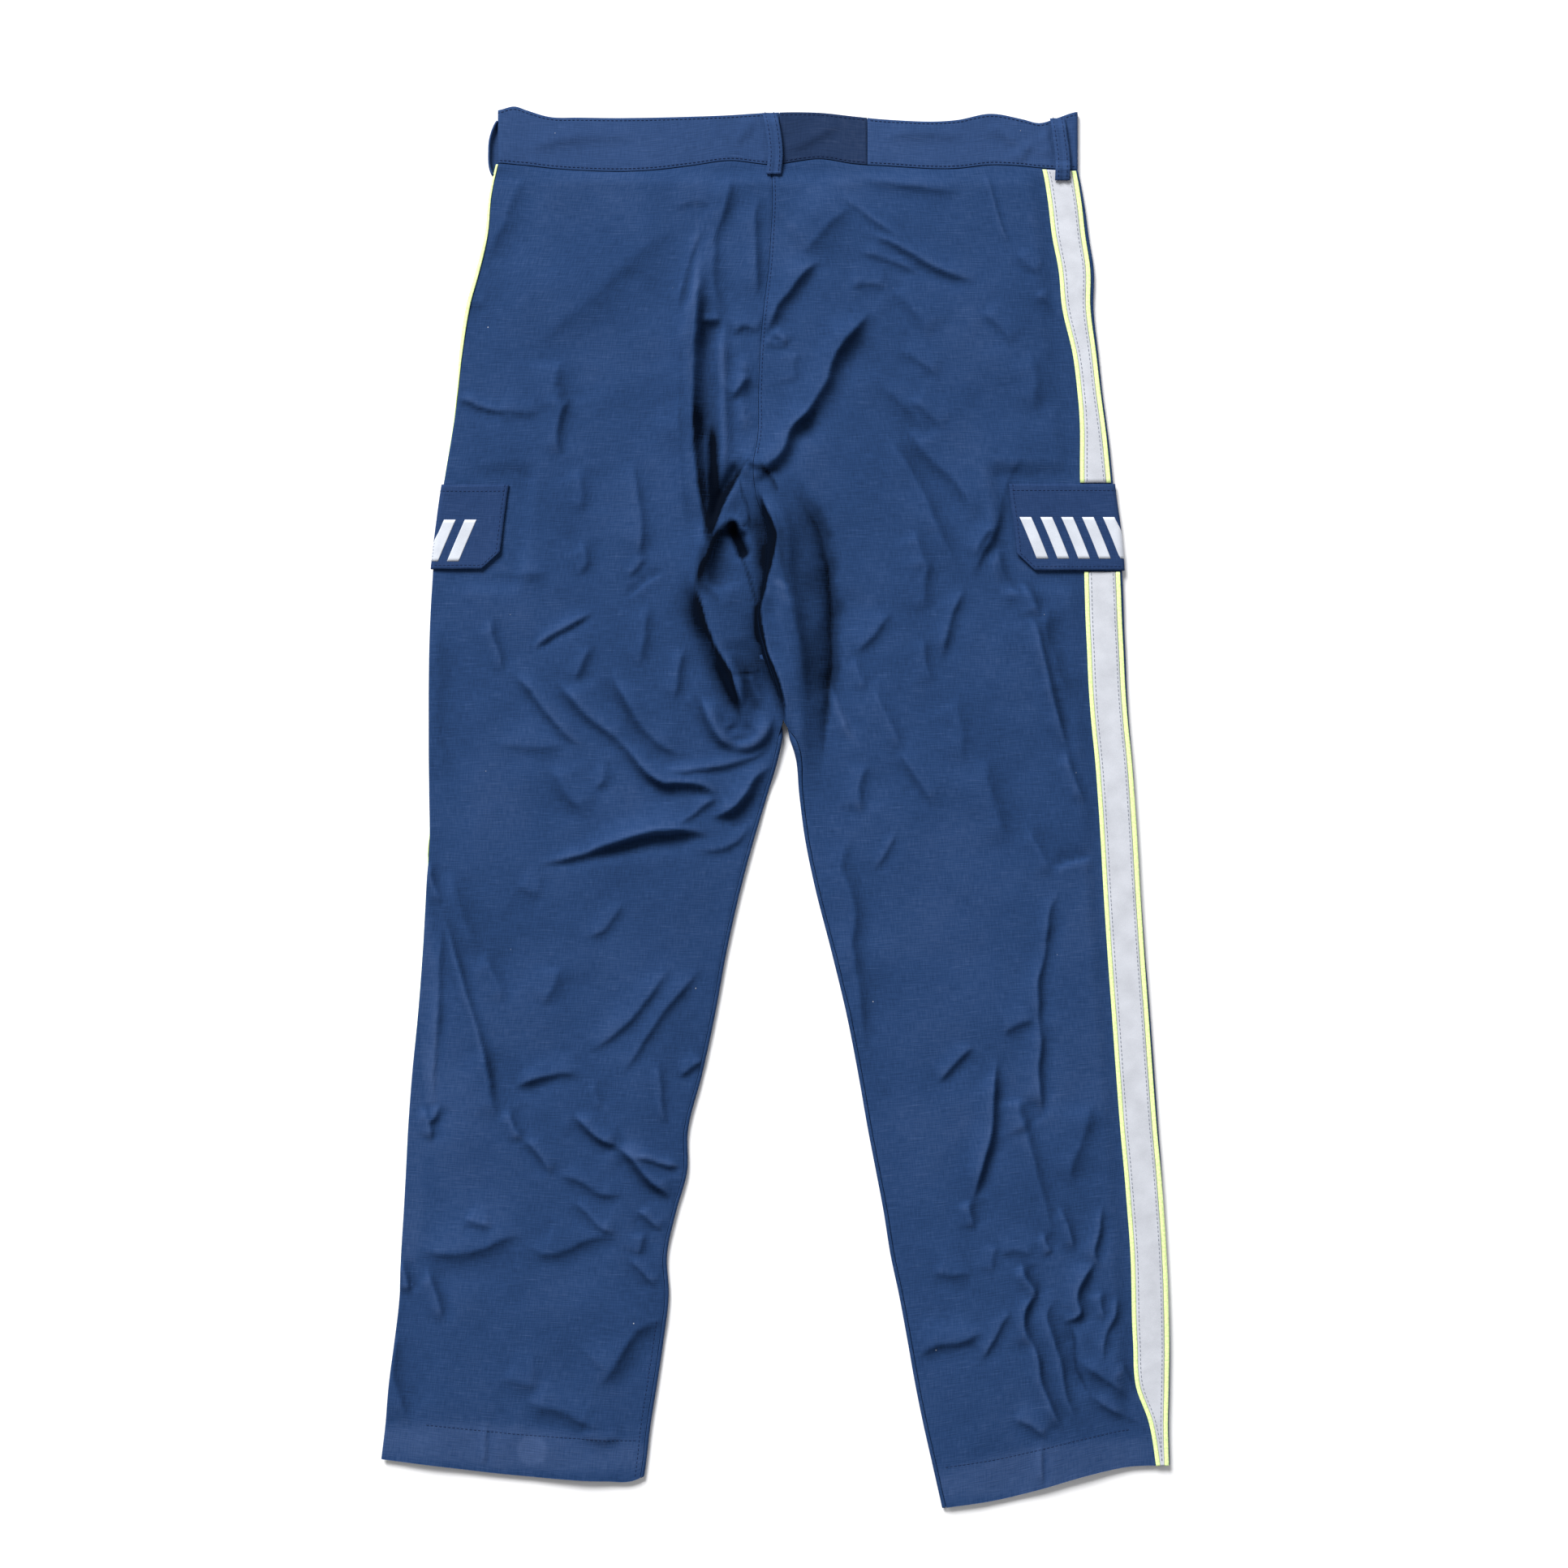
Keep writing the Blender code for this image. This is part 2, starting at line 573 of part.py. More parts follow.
def build_leg(collection, name, leg):
    """The panels of one leg, its side stripe with pipings, and its pocket flap."""
    cloth(collection, f"back_{name}", back_panel(leg), WALL, NAVY)
    cloth(collection, f"front_{name}", front_panel(leg), WALL, NAVY)
    top_end = WAIST_Y - 1.0
    stretches = {"upper": (top_end, leg.flap.top + 1.0), "lower": (leg.flap.bottom - 1.0, HEM_Y)}
    for place, (first, last) in stretches.items():
        tape = strip(leg, first, last, tape_edges, 5)
        cloth(collection, f"stripe_{name}_{place}", tape, TAPE_WALL, TAPE, LIE)
        back = strip(leg, first, last, back_piping_edges, 3)
        cloth(collection, f"piping_{name}_{place}_back", back, PIPING_WALL, NEON, LIE)
        front = strip(leg, first, last, front_piping_edges, 2)
        cloth(collection, f"piping_{name}_{place}_front", front, PIPING_WALL, NEON, LIE)
    cloth(collection, f"flap_{name}", flap_points(leg), FLAP_WALL, NAVY, FLAP_LIE)


def build_waistband(collection):
    """The two long waistband pieces, the dark insert between them and the belt loops."""
    gap = SEAM_GAP / 2
    left = band_piece(-1, band_around(-1, FLY_X - gap, -1), band_around(-1, INSERT_LEFT_X - gap, 1), 22)
    cloth(collection, "waistband_left", left, BAND_WALL, NAVY)
    insert = band_piece(-1, band_around(-1, INSERT_LEFT_X + gap, 1),
                        band_around(-1, INSERT_RIGHT_X - gap, 1), 7)
    cloth(collection, "waistband_insert", insert, BAND_WALL, DARK)
    right = band_piece(1, band_around(1, FLY_X + gap, -1), band_around(1, INSERT_RIGHT_X + gap, 1), 20)
    cloth(collection, "waistband_right", right, BAND_WALL, NAVY)
    cloth(collection, "belt_loop_centre", loop_points(CENTRE_LOOP), LOOP_WALL, NAVY, 0.01)
    cloth(collection, "belt_loop_right", loop_points(RIGHT_LOOP), LOOP_WALL, NAVY, 0.01)
    cloth(collection, "belt_loop_left", side_loop_points(), LOOP_WALL, NAVY, LIE)


def main():
    """Clear the scene and make every piece in a collection named for the trousers."""
    for old in list(bpy.data.objects):
        bpy.data.objects.remove(old)
    collection = bpy.data.collections.new("uniform_trousers")
    bpy.context.scene.collection.children.link(collection)
    left = Leg(-1, "left_out", "left_in", -501.0, -514.4, LEFT_HEM, LEFT_STRIPE, LEFT_FLAP)
    right = Leg(1, "right_out", "right_in", -505.6, -538.8, RIGHT_HEM, RIGHT_STRIPE, RIGHT_FLAP)
    build_leg(collection, "left", left)
    build_leg(collection, "right", right)
    build_waistband(collection)


main()
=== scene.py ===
"""Navy uniform trousers laid flat and seen from the back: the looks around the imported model.

The waist points to +Y, the wearer's left side to -X, and +Z is up. The tables hold
millimetres; the meshes are in metres. Run with: blender --background --python scene.py
"""

import functools
import json
import math
from collections import namedtuple

import bpy
import numpy as np
from bpy.props import FloatProperty, FloatVectorProperty, PointerProperty
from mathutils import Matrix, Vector

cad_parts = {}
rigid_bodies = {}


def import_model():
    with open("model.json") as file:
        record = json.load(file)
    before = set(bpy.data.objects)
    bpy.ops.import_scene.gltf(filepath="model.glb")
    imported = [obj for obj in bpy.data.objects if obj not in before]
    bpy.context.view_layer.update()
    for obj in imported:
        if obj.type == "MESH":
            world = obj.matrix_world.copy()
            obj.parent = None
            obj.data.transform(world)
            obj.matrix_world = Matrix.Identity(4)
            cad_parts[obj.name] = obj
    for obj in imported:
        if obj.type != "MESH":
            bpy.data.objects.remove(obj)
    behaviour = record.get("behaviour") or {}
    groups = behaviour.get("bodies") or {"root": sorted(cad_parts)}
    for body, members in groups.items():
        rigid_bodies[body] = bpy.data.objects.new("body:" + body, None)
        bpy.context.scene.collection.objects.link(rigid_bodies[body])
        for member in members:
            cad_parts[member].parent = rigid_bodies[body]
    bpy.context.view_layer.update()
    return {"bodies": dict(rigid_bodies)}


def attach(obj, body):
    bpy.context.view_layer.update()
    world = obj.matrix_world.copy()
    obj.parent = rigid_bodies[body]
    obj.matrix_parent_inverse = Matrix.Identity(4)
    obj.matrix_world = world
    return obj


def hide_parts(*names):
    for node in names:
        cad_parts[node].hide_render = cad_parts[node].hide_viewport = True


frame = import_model()
BODY = next(iter(frame["bodies"]))

bl_info = {
    "name": "Uniform Trousers",
    "version": (1, 0, 0),
    "blender": (4, 5, 0),
    "location": "View3D > Sidebar > Trousers",
    "description": "Makes the cloth, trims and stitches of uniform trousers that lie flat",
    "category": "Object",
}

MM = 0.001

# Where the cloth lies, in millimetres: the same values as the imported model's
SEAM_GAP, INSEAM_GAP, WAIST_GAP = 0.3, 0.5, 0.4
TOP, TOP_LEAST, TOP_MOST = 4.6, 3.0, 19.5
LOFT, LOFT_REACH = 3.4, 48
EDGE_RADIUS, EDGE_QUARTER = 2.0, 3.4
UNDER_LIFT = 1.7
WAIST_Y, CROTCH_Y, PARTING_Y, HEM_Y = 495.0, 235.0, 62.0, -510.0
# The piping's crown is an arch without this share at each foot
PIPING_WIDTH, PIPING_CROWN, PIPING_FOOT = 3.0, 0.55, 0.15
# How far the trims start above what they lie on: a wall with any lift grows outwards
PIPING_LIFT, TAPE_LIFT, LOOP_LIFT, SIDE_LOOP_LIFT, CLOSE = 0.2, 0.35, 0.01, 0.4, 0.01
# The inner side of a back panel stays above the lower layer, and only what lies higher than
# this takes on the painted shade, painted highlight and wear of the folds
INNER_LEAST, SHADE_LEAST_Z = 1.9, 2.1
# It evens out the dips only past this much of the fold and of the seam, coming in over the third
INNER_FROM_FOLD, INNER_FROM_SEAM, INNER_OVER = 7, 5, 3
# Below these heights the rows take on the slope and the wave of the hem, and above the third
# one the wave of the waist seam
HEM_BLEND_Y, HEM_WAVE_Y, WAIST_BLEND_Y = 200.0, -435, 415
# How far the waist seam of the lower layer falls from the left side to the right one
LOWER_SEAM_FALL = 5

# Points across the grids
BACK_COLUMNS, BACK_ROWS = 160, 541
FRONT_COLUMNS, FRONT_ROWS, CURL_COLUMNS = 52, 201, 9
TAPE_COLUMNS, PIPING_COLUMNS = 13, 6
FLAP_COLUMNS, FLAP_ROWS = 84, 34
BAR_COLUMNS, BAR_ROWS = 12, 14
LOOP_COLUMNS, LOOP_ROWS = 11, 34
SIDE_LOOP_COLUMNS, SIDE_LOOP_ROWS = 15, 30
BAND_COLUMNS = {"left": 190, "insert": 34, "right": 170}
# The inner side of a back panel has one point for this many on the outer side
COARSER = 3
# How far the outermost rows and columns lie from the edge of a panel, close together
EDGE_ROWS = np.array([0.0, 0.5, 1.1, 1.9])
EDGE_COLUMNS = np.array([0.0, 0.6, 1.3, 2.2])
# The next columns inwards start here, and the rows of a strip keep this far from its ends
NEXT_COLUMN, NEXT_TO_EDGE, STRIP_END = 1.5, 3.4, 0.6

# The outline: X of each leg's outer and inner edge at a height along the leg
Section = namedtuple("Section", "y left_out left_in right_in right_out")
SECTIONS = [
    Section(500, -212, -3.0, -3.0, 231),
    Section(495, -213.4, -3.0, -3.0, 232.5),
    Section(470, -219, -2.3, -2.3, 237.3),
    Section(440, -222.3, -3.5, -3.5, 241),
    Section(412, -229.5, -5.6, -5.6, 245),
    Section(385, -237, -8.8, -8.8, 244.6),
    Section(350, -241.8, -11.8, -11.8, 248.2),
    Section(320, -243.8, -13, -13, 251.4),
    Section(285, -249, -13.5, -13.5, 256),
    Section(262, -252.9, -17, -17, 258.4),
    Section(240, -256.5, -15, -15, 260.6),
    Section(215, -259.8, -7.5, -7.5, 264),
    Section(190, -262.6, -7, -7, 266.2),
    Section(165, -264.4, -10.5, -10.5, 267.4),
    Section(144, -265.5, -13, -13, 268.1),
    Section(120, -266.2, -7.5, -7.5, 269.2),
    Section(90, -266.6, 1, 1, 270.4),
    Section(62, -266.6, 6.6, 7.2, 272.2),
    Section(40, -266.6, 2.8, 15, 274.2),
    Section(10, -266.3, -6, 18.2, 276.3),
    Section(-25, -266, -16.5, 22.8, 278.5),
    Section(-60, -268.3, -26, 30, 280.6),
    Section(-110, -271.2, -37.3, 42.8, 284.2),
    Section(-160, -275, -46.5, 54.8, 288.2),
    Section(-205, -279.4, -56.2, 63.6, 291.5),
    Section(-250, -282.7, -67.4, 71.5, 294.7),
    Section(-280, -284.2, -67.8, 77.3, 297),
    Section(-310, -285.8, -76, 83, 298.5),
    Section(-345, -288, -83.4, 88.6, 300.3),
    Section(-375, -289, -82, 95, 302),
    Section(-410, -292.9, -86, 101.5, 303.4),
    Section(-445, -297.4, -91.2, 107.7, 303.2),
    Section(-475, -300, -96, 113.8, 302.6),
    Section(-505, -303.6, -99.5, 120.6, 303.4),
    Section(-545, -308, -106, 129.6, 304.4),
]

# Across the waist: Y of the seam below the waistband, and of the waistband's upper edge
Waist = namedtuple("Waist", "x seam top")
WAIST = [
    Waist(-222, 495, 535),
    Waist(-212, 495, 536),
    Waist(-200, 494, 538.6),
    Waist(-191, 493.2, 535.6),
    Waist(-175, 491.4, 530.8),
    Waist(-150, 489.4, 530),
    Waist(-97, 489.4, 530),
    Waist(-66, 493, 530.8),
    Waist(-35, 497, 531.9),
    Waist(-5, 494, 533.8),
    Waist(37, 498.2, 533.5),
    Waist(60, 494.6, 531),
    Waist(84, 493, 528.6),
    Waist(140, 491, 528.3),
    Waist(165, 493.6, 533),
    Waist(190, 492.8, 528.8),
    Waist(203, 491.4, 525.8),
    Waist(216, 490.6, 529.5),
    Waist(231, 490, 534.4),
    Waist(240, 490, 535),
]

# The wave of a hem: how far it drops below a straight line, at shares of the way inwards
Hem = namedtuple("Hem", "share drop")
LEFT_HEM = [Hem(0, 0), Hem(0.17, 1.8), Hem(0.5, 5.2), Hem(0.86, 5.3), Hem(0.95, 4.2), Hem(1, 0)]
RIGHT_HEM = [Hem(0, 0), Hem(0.19, -5), Hem(0.34, -4.6), Hem(0.58, -0.4), Hem(0.72, 1.4), Hem(1, 0)]

# The side stripes: how far round the fold their back edge comes, and how wide they are
Stripe = namedtuple("Stripe", "y back width")
LEFT_STRIPE = [
    Stripe(500, 2.2, 28),
    Stripe(330, 1.6, 28),
    Stripe(305, -0.6, 28),
    Stripe(250, -1.6, 28),
    Stripe(180, -4.0, 28),
    Stripe(0, -4.0, 28),
    Stripe(-20, -2.0, 28),
    Stripe(-34, 0.2, 28),
    Stripe(-52, -2.6, 28),
    Stripe(-80, -2.2, 28),
    Stripe(-184, -2.4, 28),
    Stripe(-230, -4.0, 28),
    Stripe(-272, -2.2, 28),
    Stripe(-310, -4.0, 28),
    Stripe(-347, -2.4, 28),
    Stripe(-390, -4.0, 28),
    Stripe(-515, -4.0, 28),
]
RIGHT_STRIPE = [
    Stripe(500, 29.0, 25.5),
    Stripe(412, 28.6, 24),
    Stripe(385, 25.8, 21.5),
    Stripe(345, 21.0, 17.5),
    Stripe(315, 20.8, 17.5),
    Stripe(254, 26.4, 23),
    Stripe(183, 30.6, 27),
    Stripe(120, 31.0, 27.6),
    Stripe(22, 30.0, 27.6),
    Stripe(-284, 30.2, 27.6),
    Stripe(-341, 28.8, 27.4),
    Stripe(-410, 30.2, 27.6),
    Stripe(-445, 28.0, 25.2),
    Stripe(-475, 17.4, 14.6),
    Stripe(-515, 11.8, 9.0),
]

# The pocket flaps: reach over the back and round the edge, top and bottom, cut corner
Flap = namedtuple("Flap", "back front top bottom corner")
LEFT_FLAP = Flap(back=52, front=-106, top=248, bottom=183, corner=13)
RIGHT_FLAP = Flap(back=82, front=-76, top=248.5, bottom=182, corner=13)
# A flap stands off the leg by its lie, by its flare at the lower edge, over the first stretch
# of the way round, and by its spring at the free end, over the last one
FLAP_LIE, FLAP_FLARE, FLAP_SPRING = 0.5, 1.5, 0.5
FLARE_FROM, FLARE_OVER, SPRING_OVER = -10, 30, 14

# The silver bars on the flaps: bottom and top, and the way round to the first and past the last
Bars = namedtuple("Bars", "bottom top first last")
LEFT_BARS = Bars(189, 221, -100, 27)
RIGHT_BARS = Bars(191, 223, -70, 60)
BAR_WIDTH = 9.0
BAR_PITCH = 16.0
BAR_SLANT = 10.0
BAR_WALL = 0.15
BAR_CLEARANCE = 0.06

Leg = namedtuple("Leg", "name side outer inner hem_outer hem_inner hem stripe flap bars")
LEFT = Leg("left", -1, "left_out", "left_in", -501.0, -514.4,
           LEFT_HEM, LEFT_STRIPE, LEFT_FLAP, LEFT_BARS)
RIGHT = Leg("right", 1, "right_out", "right_in", -505.6, -538.8,
            RIGHT_HEM, RIGHT_STRIPE, RIGHT_FLAP, RIGHT_BARS)

# The cloth that lies higher over a wide place
Mound = namedtuple("Mound", "x y reach_x reach_y height")
MOUNDS = [
    Mound(-42, 190, 34, 85, 5.5),
    Mound(14, 175, 26, 95, 4.5),
    Mound(-18, 262, 34, 34, 5.0),
    Mound(-70, 320, 60, 90, 1.5),
    Mound(70, 380, 80, 70, 1.5),
    Mound(-140, 20, 90, 90, 1.2),
    Mound(150, 150, 70, 120, 1.2),
    Mound(-190, -300, 60, 110, 1.2),
    Mound(220, -400, 45, 80, 1.6),
]

# Deep folds round the seat and the crotch: a raised or a sunk line through a few points
Fold = namedtuple("Fold", "name height reach points")
FOLDS = [
    Fold("seat ridge", 5.0, 7, [(-56, 440), (-62, 400), (-65, 372), (-67, 330), (-67, 290),
                                (-63, 240),
                                (-60, 205)]),
    Fold("seat pleat", 5.5, 5, [(-42, 380), (-41, 340), (-40, 305), (-40, 268), (-45, 236)]),
    Fold("centre pleat", 3.0, 6, [(-24, 350), (-26, 312), (-22, 284)]),
    Fold("peak", 5.0, 7, [(-30, 256), (-20, 263), (-8, 252)]),
    Fold("pouch valley", -5, 3.5, [(-22, 272), (-35, 252), (-44, 232), (-50, 212)]),
    Fold("pouch rim", 6.0, 7, [(-24, 257), (-38, 236), (-49, 212), (-57, 182), (-57, 154), (-46, 124),
                               (-36, 102), (-29, 80)]),
    Fold("pouch hole", -8, 4.5, [(-36, 218), (-31, 210), (-27, 202), (-22, 190)]),
    Fold("pouch body", 4.0, 14, [(-38, 178), (-36, 146), (-32, 118)]),
    Fold("foot ridge", 4.0, 6, [(-50, 88), (-45, 62), (-32, 50), (-14, 54), (-8, 78)]),
    Fold("foot hollow", -3.5, 5, [(-36, 64), (-26, 56), (-16, 62)]),
    Fold("inner ridge", 6.0, 8, [(-12, 256), (-2, 232), (4, 200), (6, 170), (8, 140), (12, 104),
                                 (18, 60), (22, 10)]),
]

# Creases: a line where the cloth drops from a raised side to a sunk one. A crease drops
# towards the hem and the right, and one with a negative reach drops to the other side. One
# with a negative height is a sharp valley with its steep side there, in place of a sharp lip.
Crease = namedtuple("Crease", "height reach points")
CROTCH = [
    Crease(5.5, 7, [(-57, 420), (-58, 385), (-59, 350), (-60, 315), (-59, 280), (-55, 245),
                    (-51, 200)]),
    Crease(3.0, 5, [(-48, 300), (-50, 270), (-48, 240), (-49, 208)]),
    Crease(4.0, 7, [(-34, 222), (-42, 209), (-50, 192), (-56, 174), (-57, 158)]),
    Crease(5.5, -6, [(-62, 184), (-61, 162), (-56, 140), (-46, 119), (-36, 98), (-29, 78),
                     (-26, 60)]),
    Crease(3.5, 3, [(-44, 208), (-37, 214), (-32, 218), (-27, 211), (-19, 211)]),
    Crease(5.5, -4.5, [(-13, 242), (-8, 228), (-4, 217), (-2, 205), (-4, 192), (-8, 176),
                       (-11, 160), (-14, 146)]),
    Crease(4.5, -3, [(-11, 164), (-13, 148), (-12, 134), (-8, 120), (-3, 106), (2, 92), (6, 76),
                     (8, 58)]),
    Crease(2.5, 8, [(-4, 240), (4, 216), (8, 185), (14, 165), (20, 140), (24, 104), (26, 70)]),
    Crease(-3.4, -10, [(8, 246), (22, 228), (31, 206), (36, 182), (39, 150), (38, 108), (35, 70),
                       (32, 20)]),
    Crease(1.8, 4, [(-62, 170), (-52, 167), (-46, 161), (-44, 150)]),
    Crease(2.6, -4, [(-36, 104), (-28, 106), (-18, 108), (-6, 112)]),
    Crease(2.0, 3.5, [(-27, 108), (-25, 92), (-24, 76)]),
    Crease(1.4, 3, [(-18, 106), (-14, 94), (-8, 80)]),
]
SEAT_LEFT = [
    Crease(1.4, 9, [(-186, 490), (-197, 470), (-204, 450), (-214, 430), (-222, 415)]),
    Crease(0.9, 4, [(-78, 457), (-66, 463), (-48, 462)]),
    Crease(1.8, 6, [(-33, 487), (-35, 465), (-44, 442), (-51, 424)]),
    Crease(1.8, 3.5, [(-55, 447), (-64, 422), (-70, 400), (-76, 376)]),
    Crease(2.1, 5.5, [(-46, 445), (-45, 425), (-46, 405), (-42, 388), (-39, 376)]),
    Crease(2.3, 4, [(-58, 374), (-50, 372), (-40, 374)]),
    Crease(1.9, 6, [(-70, 378), (-72, 340), (-72, 300), (-70, 262), (-68, 225), (-66, 195)]),
    Crease(1.8, 2.6, [(-246, 313), (-236, 311), (-228, 307), (-216, 304), (-206, 303)]),
    Crease(1.2, 5, [(-216, 304), (-196, 302), (-178, 301)]),
    Crease(2.4, 4.5, [(-156, 314), (-163, 302), (-166, 286), (-164, 268)]),
    Crease(1.6, 9, [(-162, 345), (-164, 325), (-160, 305)]),
    Crease(1.1, 15, [(-66, 448), (-92, 430), (-120, 404), (-148, 378), (-186, 348)]),
    Crease(1.1, 5, [(-242, 383), (-230, 386), (-222, 384)]),
    Crease(1.2, 6, [(-150, 262), (-146, 240), (-148, 224)]),
    Crease(1.3, 4, [(-148, 206), (-143, 190), (-151, 176)]),
    Crease(1.6, 4, [(-32, 362), (-24, 368), (-12, 363)]),
    Crease(1.9, 4.5, [(-13, 472), (-14, 445), (-13, 415), (-13, 382)]),
    Crease(2.3, 4, [(-34, 312), (-27, 320), (-19, 332)]),
]
SEAT_RIGHT = [
    Crease(1.7, 6, [(56, 483), (86, 478), (112, 474), (146, 471)]),
    Crease(1.4, 2.6, [(46, 471), (60, 461), (76, 449), (100, 433)]),
    Crease(2.4, 3.6, [(70, 441), (98, 427), (124, 412), (156, 402)]),
    Crease(1.4, 3, [(62, 427), (92, 417), (112, 408)]),
    Crease(2.0, 11, [(62, 462), (46, 448), (32, 432), (20, 420)]),
    Crease(3.2, 5, [(37, 421), (27, 413), (17, 402), (12, 394), (4, 385), (-2, 372), (-8, 361)]),
    Crease(5.4, 7, [(76, 382), (60, 362), (47, 342), (39, 322), (29, 306), (16, 293), (4, 285)]),
    Crease(5.0, 5, [(34, 308), (20, 296), (13, 288), (8, 274), (1, 265), (-11, 260), (-20, 262)]),
    Crease(1.3, 5, [(56, 399), (72, 401), (86, 398)]),
    Crease(1.4, 6, [(88, 398), (104, 381), (118, 358)]),
    Crease(1.3, 4, [(94, 351), (110, 341), (126, 329)]),
    Crease(1.3, 6, [(78, 326), (98, 306), (116, 284)]),
    Crease(1.3, 5, [(100, 312), (118, 300), (130, 288)]),
    Crease(1.4, 5, [(156, 380), (170, 369), (182, 353)]),
    Crease(1.2, 1.6, [(160, 494), (167, 472), (174, 446), (183, 426)]),
    Crease(1.8, 4, [(198, 394), (209, 386), (217, 372)]),
    Crease(1.1, 4, [(184, 426), (192, 417), (202, 408)]),
    Crease(1.2, 4, [(-10, 356), (2, 353), (9, 351)]),
    Crease(1.3, 2.6, [(-4, 364), (3, 360), (8, 353)]),
    Crease(1.3, 6, [(18, 350), (16, 338), (19, 326)]),
    Crease(1.3, 8, [(196, 352), (203, 330), (200, 300)]),
]
THIGH_LEFT = [
    Crease(2.3, 5, [(-110, 268), (-104, 240), (-101, 214), (-104, 184)]),
    Crease(1.4, 3, [(-114, 176), (-106, 183), (-99, 192)]),
    Crease(1.8, 4.5, [(-96, 158), (-99, 130), (-103, 106)]),
    Crease(-1.3, 2.2, [(-117, 158), (-101, 172), (-84, 182)]),
    Crease(2.1, 2.2, [(-187, 120), (-175, 129), (-156, 140), (-137, 151)]),
    Crease(2.1, 3.4, [(-218, 147), (-216, 132), (-210, 114), (-209, 102)]),
    Crease(2.4, 3.6, [(-204, 105), (-190, 90), (-176, 71), (-160, 54), (-146, 44)]),
    Crease(3.2, 5, [(-170, 98), (-157, 82), (-145, 69), (-128, 56), (-110, 42)]),
    Crease(4.6, 4.2, [(-126, 54), (-112, 41), (-100, 26), (-88, 18), (-72, 17), (-55, 15),
                      (-46, 8), (-43, 2)]),
    Crease(3.2, 5.5, [(-128, 108), (-122, 91), (-112, 73), (-100, 56), (-84, 44), (-68, 38)]),
    Crease(1.8, 4, [(-70, 124), (-73, 102), (-76, 80)]),
    Crease(2.3, 3, [(-58, 88), (-53, 68), (-42, 50), (-30, 43)]),
    Crease(2.1, 3, [(-34, 44), (-18, 45), (-6, 54), (-2, 72)]),
    Crease(1.8, 2.4, [(-36, 54), (-26, 55), (-16, 57)]),
    Crease(1.9, 2.6, [(-90, 27), (-60, 28), (-32, 33), (-10, 42), (-2, 50)]),
    Crease(4.2, 4.5, [(-1, 32), (-13, 23), (-21, 9), (-30, -2), (-50, -9)]),
    Crease(1.7, 3, [(-76, -14), (-62, -6), (-51, 3), (-42, 6)]),
    Crease(2.4, 2.8, [(-186, -46), (-160, -40), (-132, -33), (-100, -24), (-74, -21), (-50, -22)]),
    Crease(4.6, 4.8, [(-152, -37), (-118, -27), (-92, -20), (-68, -19), (-48, -22)]),
    Crease(1.3, 3, [(-62, -32), (-44, -34), (-28, -26), (-18, -12)]),
    Crease(1.2, 6, [(-218, 48), (-190, 44), (-158, 46)]),
    Crease(1.6, 8, [(-176, 32), (-164, 10), (-146, -10)]),
    Crease(1.3, 4, [(-134, 36), (-130, 22), (-138, 12)]),
    Crease(1.8, 4, [(-140, 125), (-146, 112), (-154, 94)]),
    Crease(1.4, 12, [(-258, 150), (-254, 110), (-255, 70), (-250, 20)]),
    Crease(1.3, 8, [(-222, 180), (-200, 176), (-170, 178)]),
]
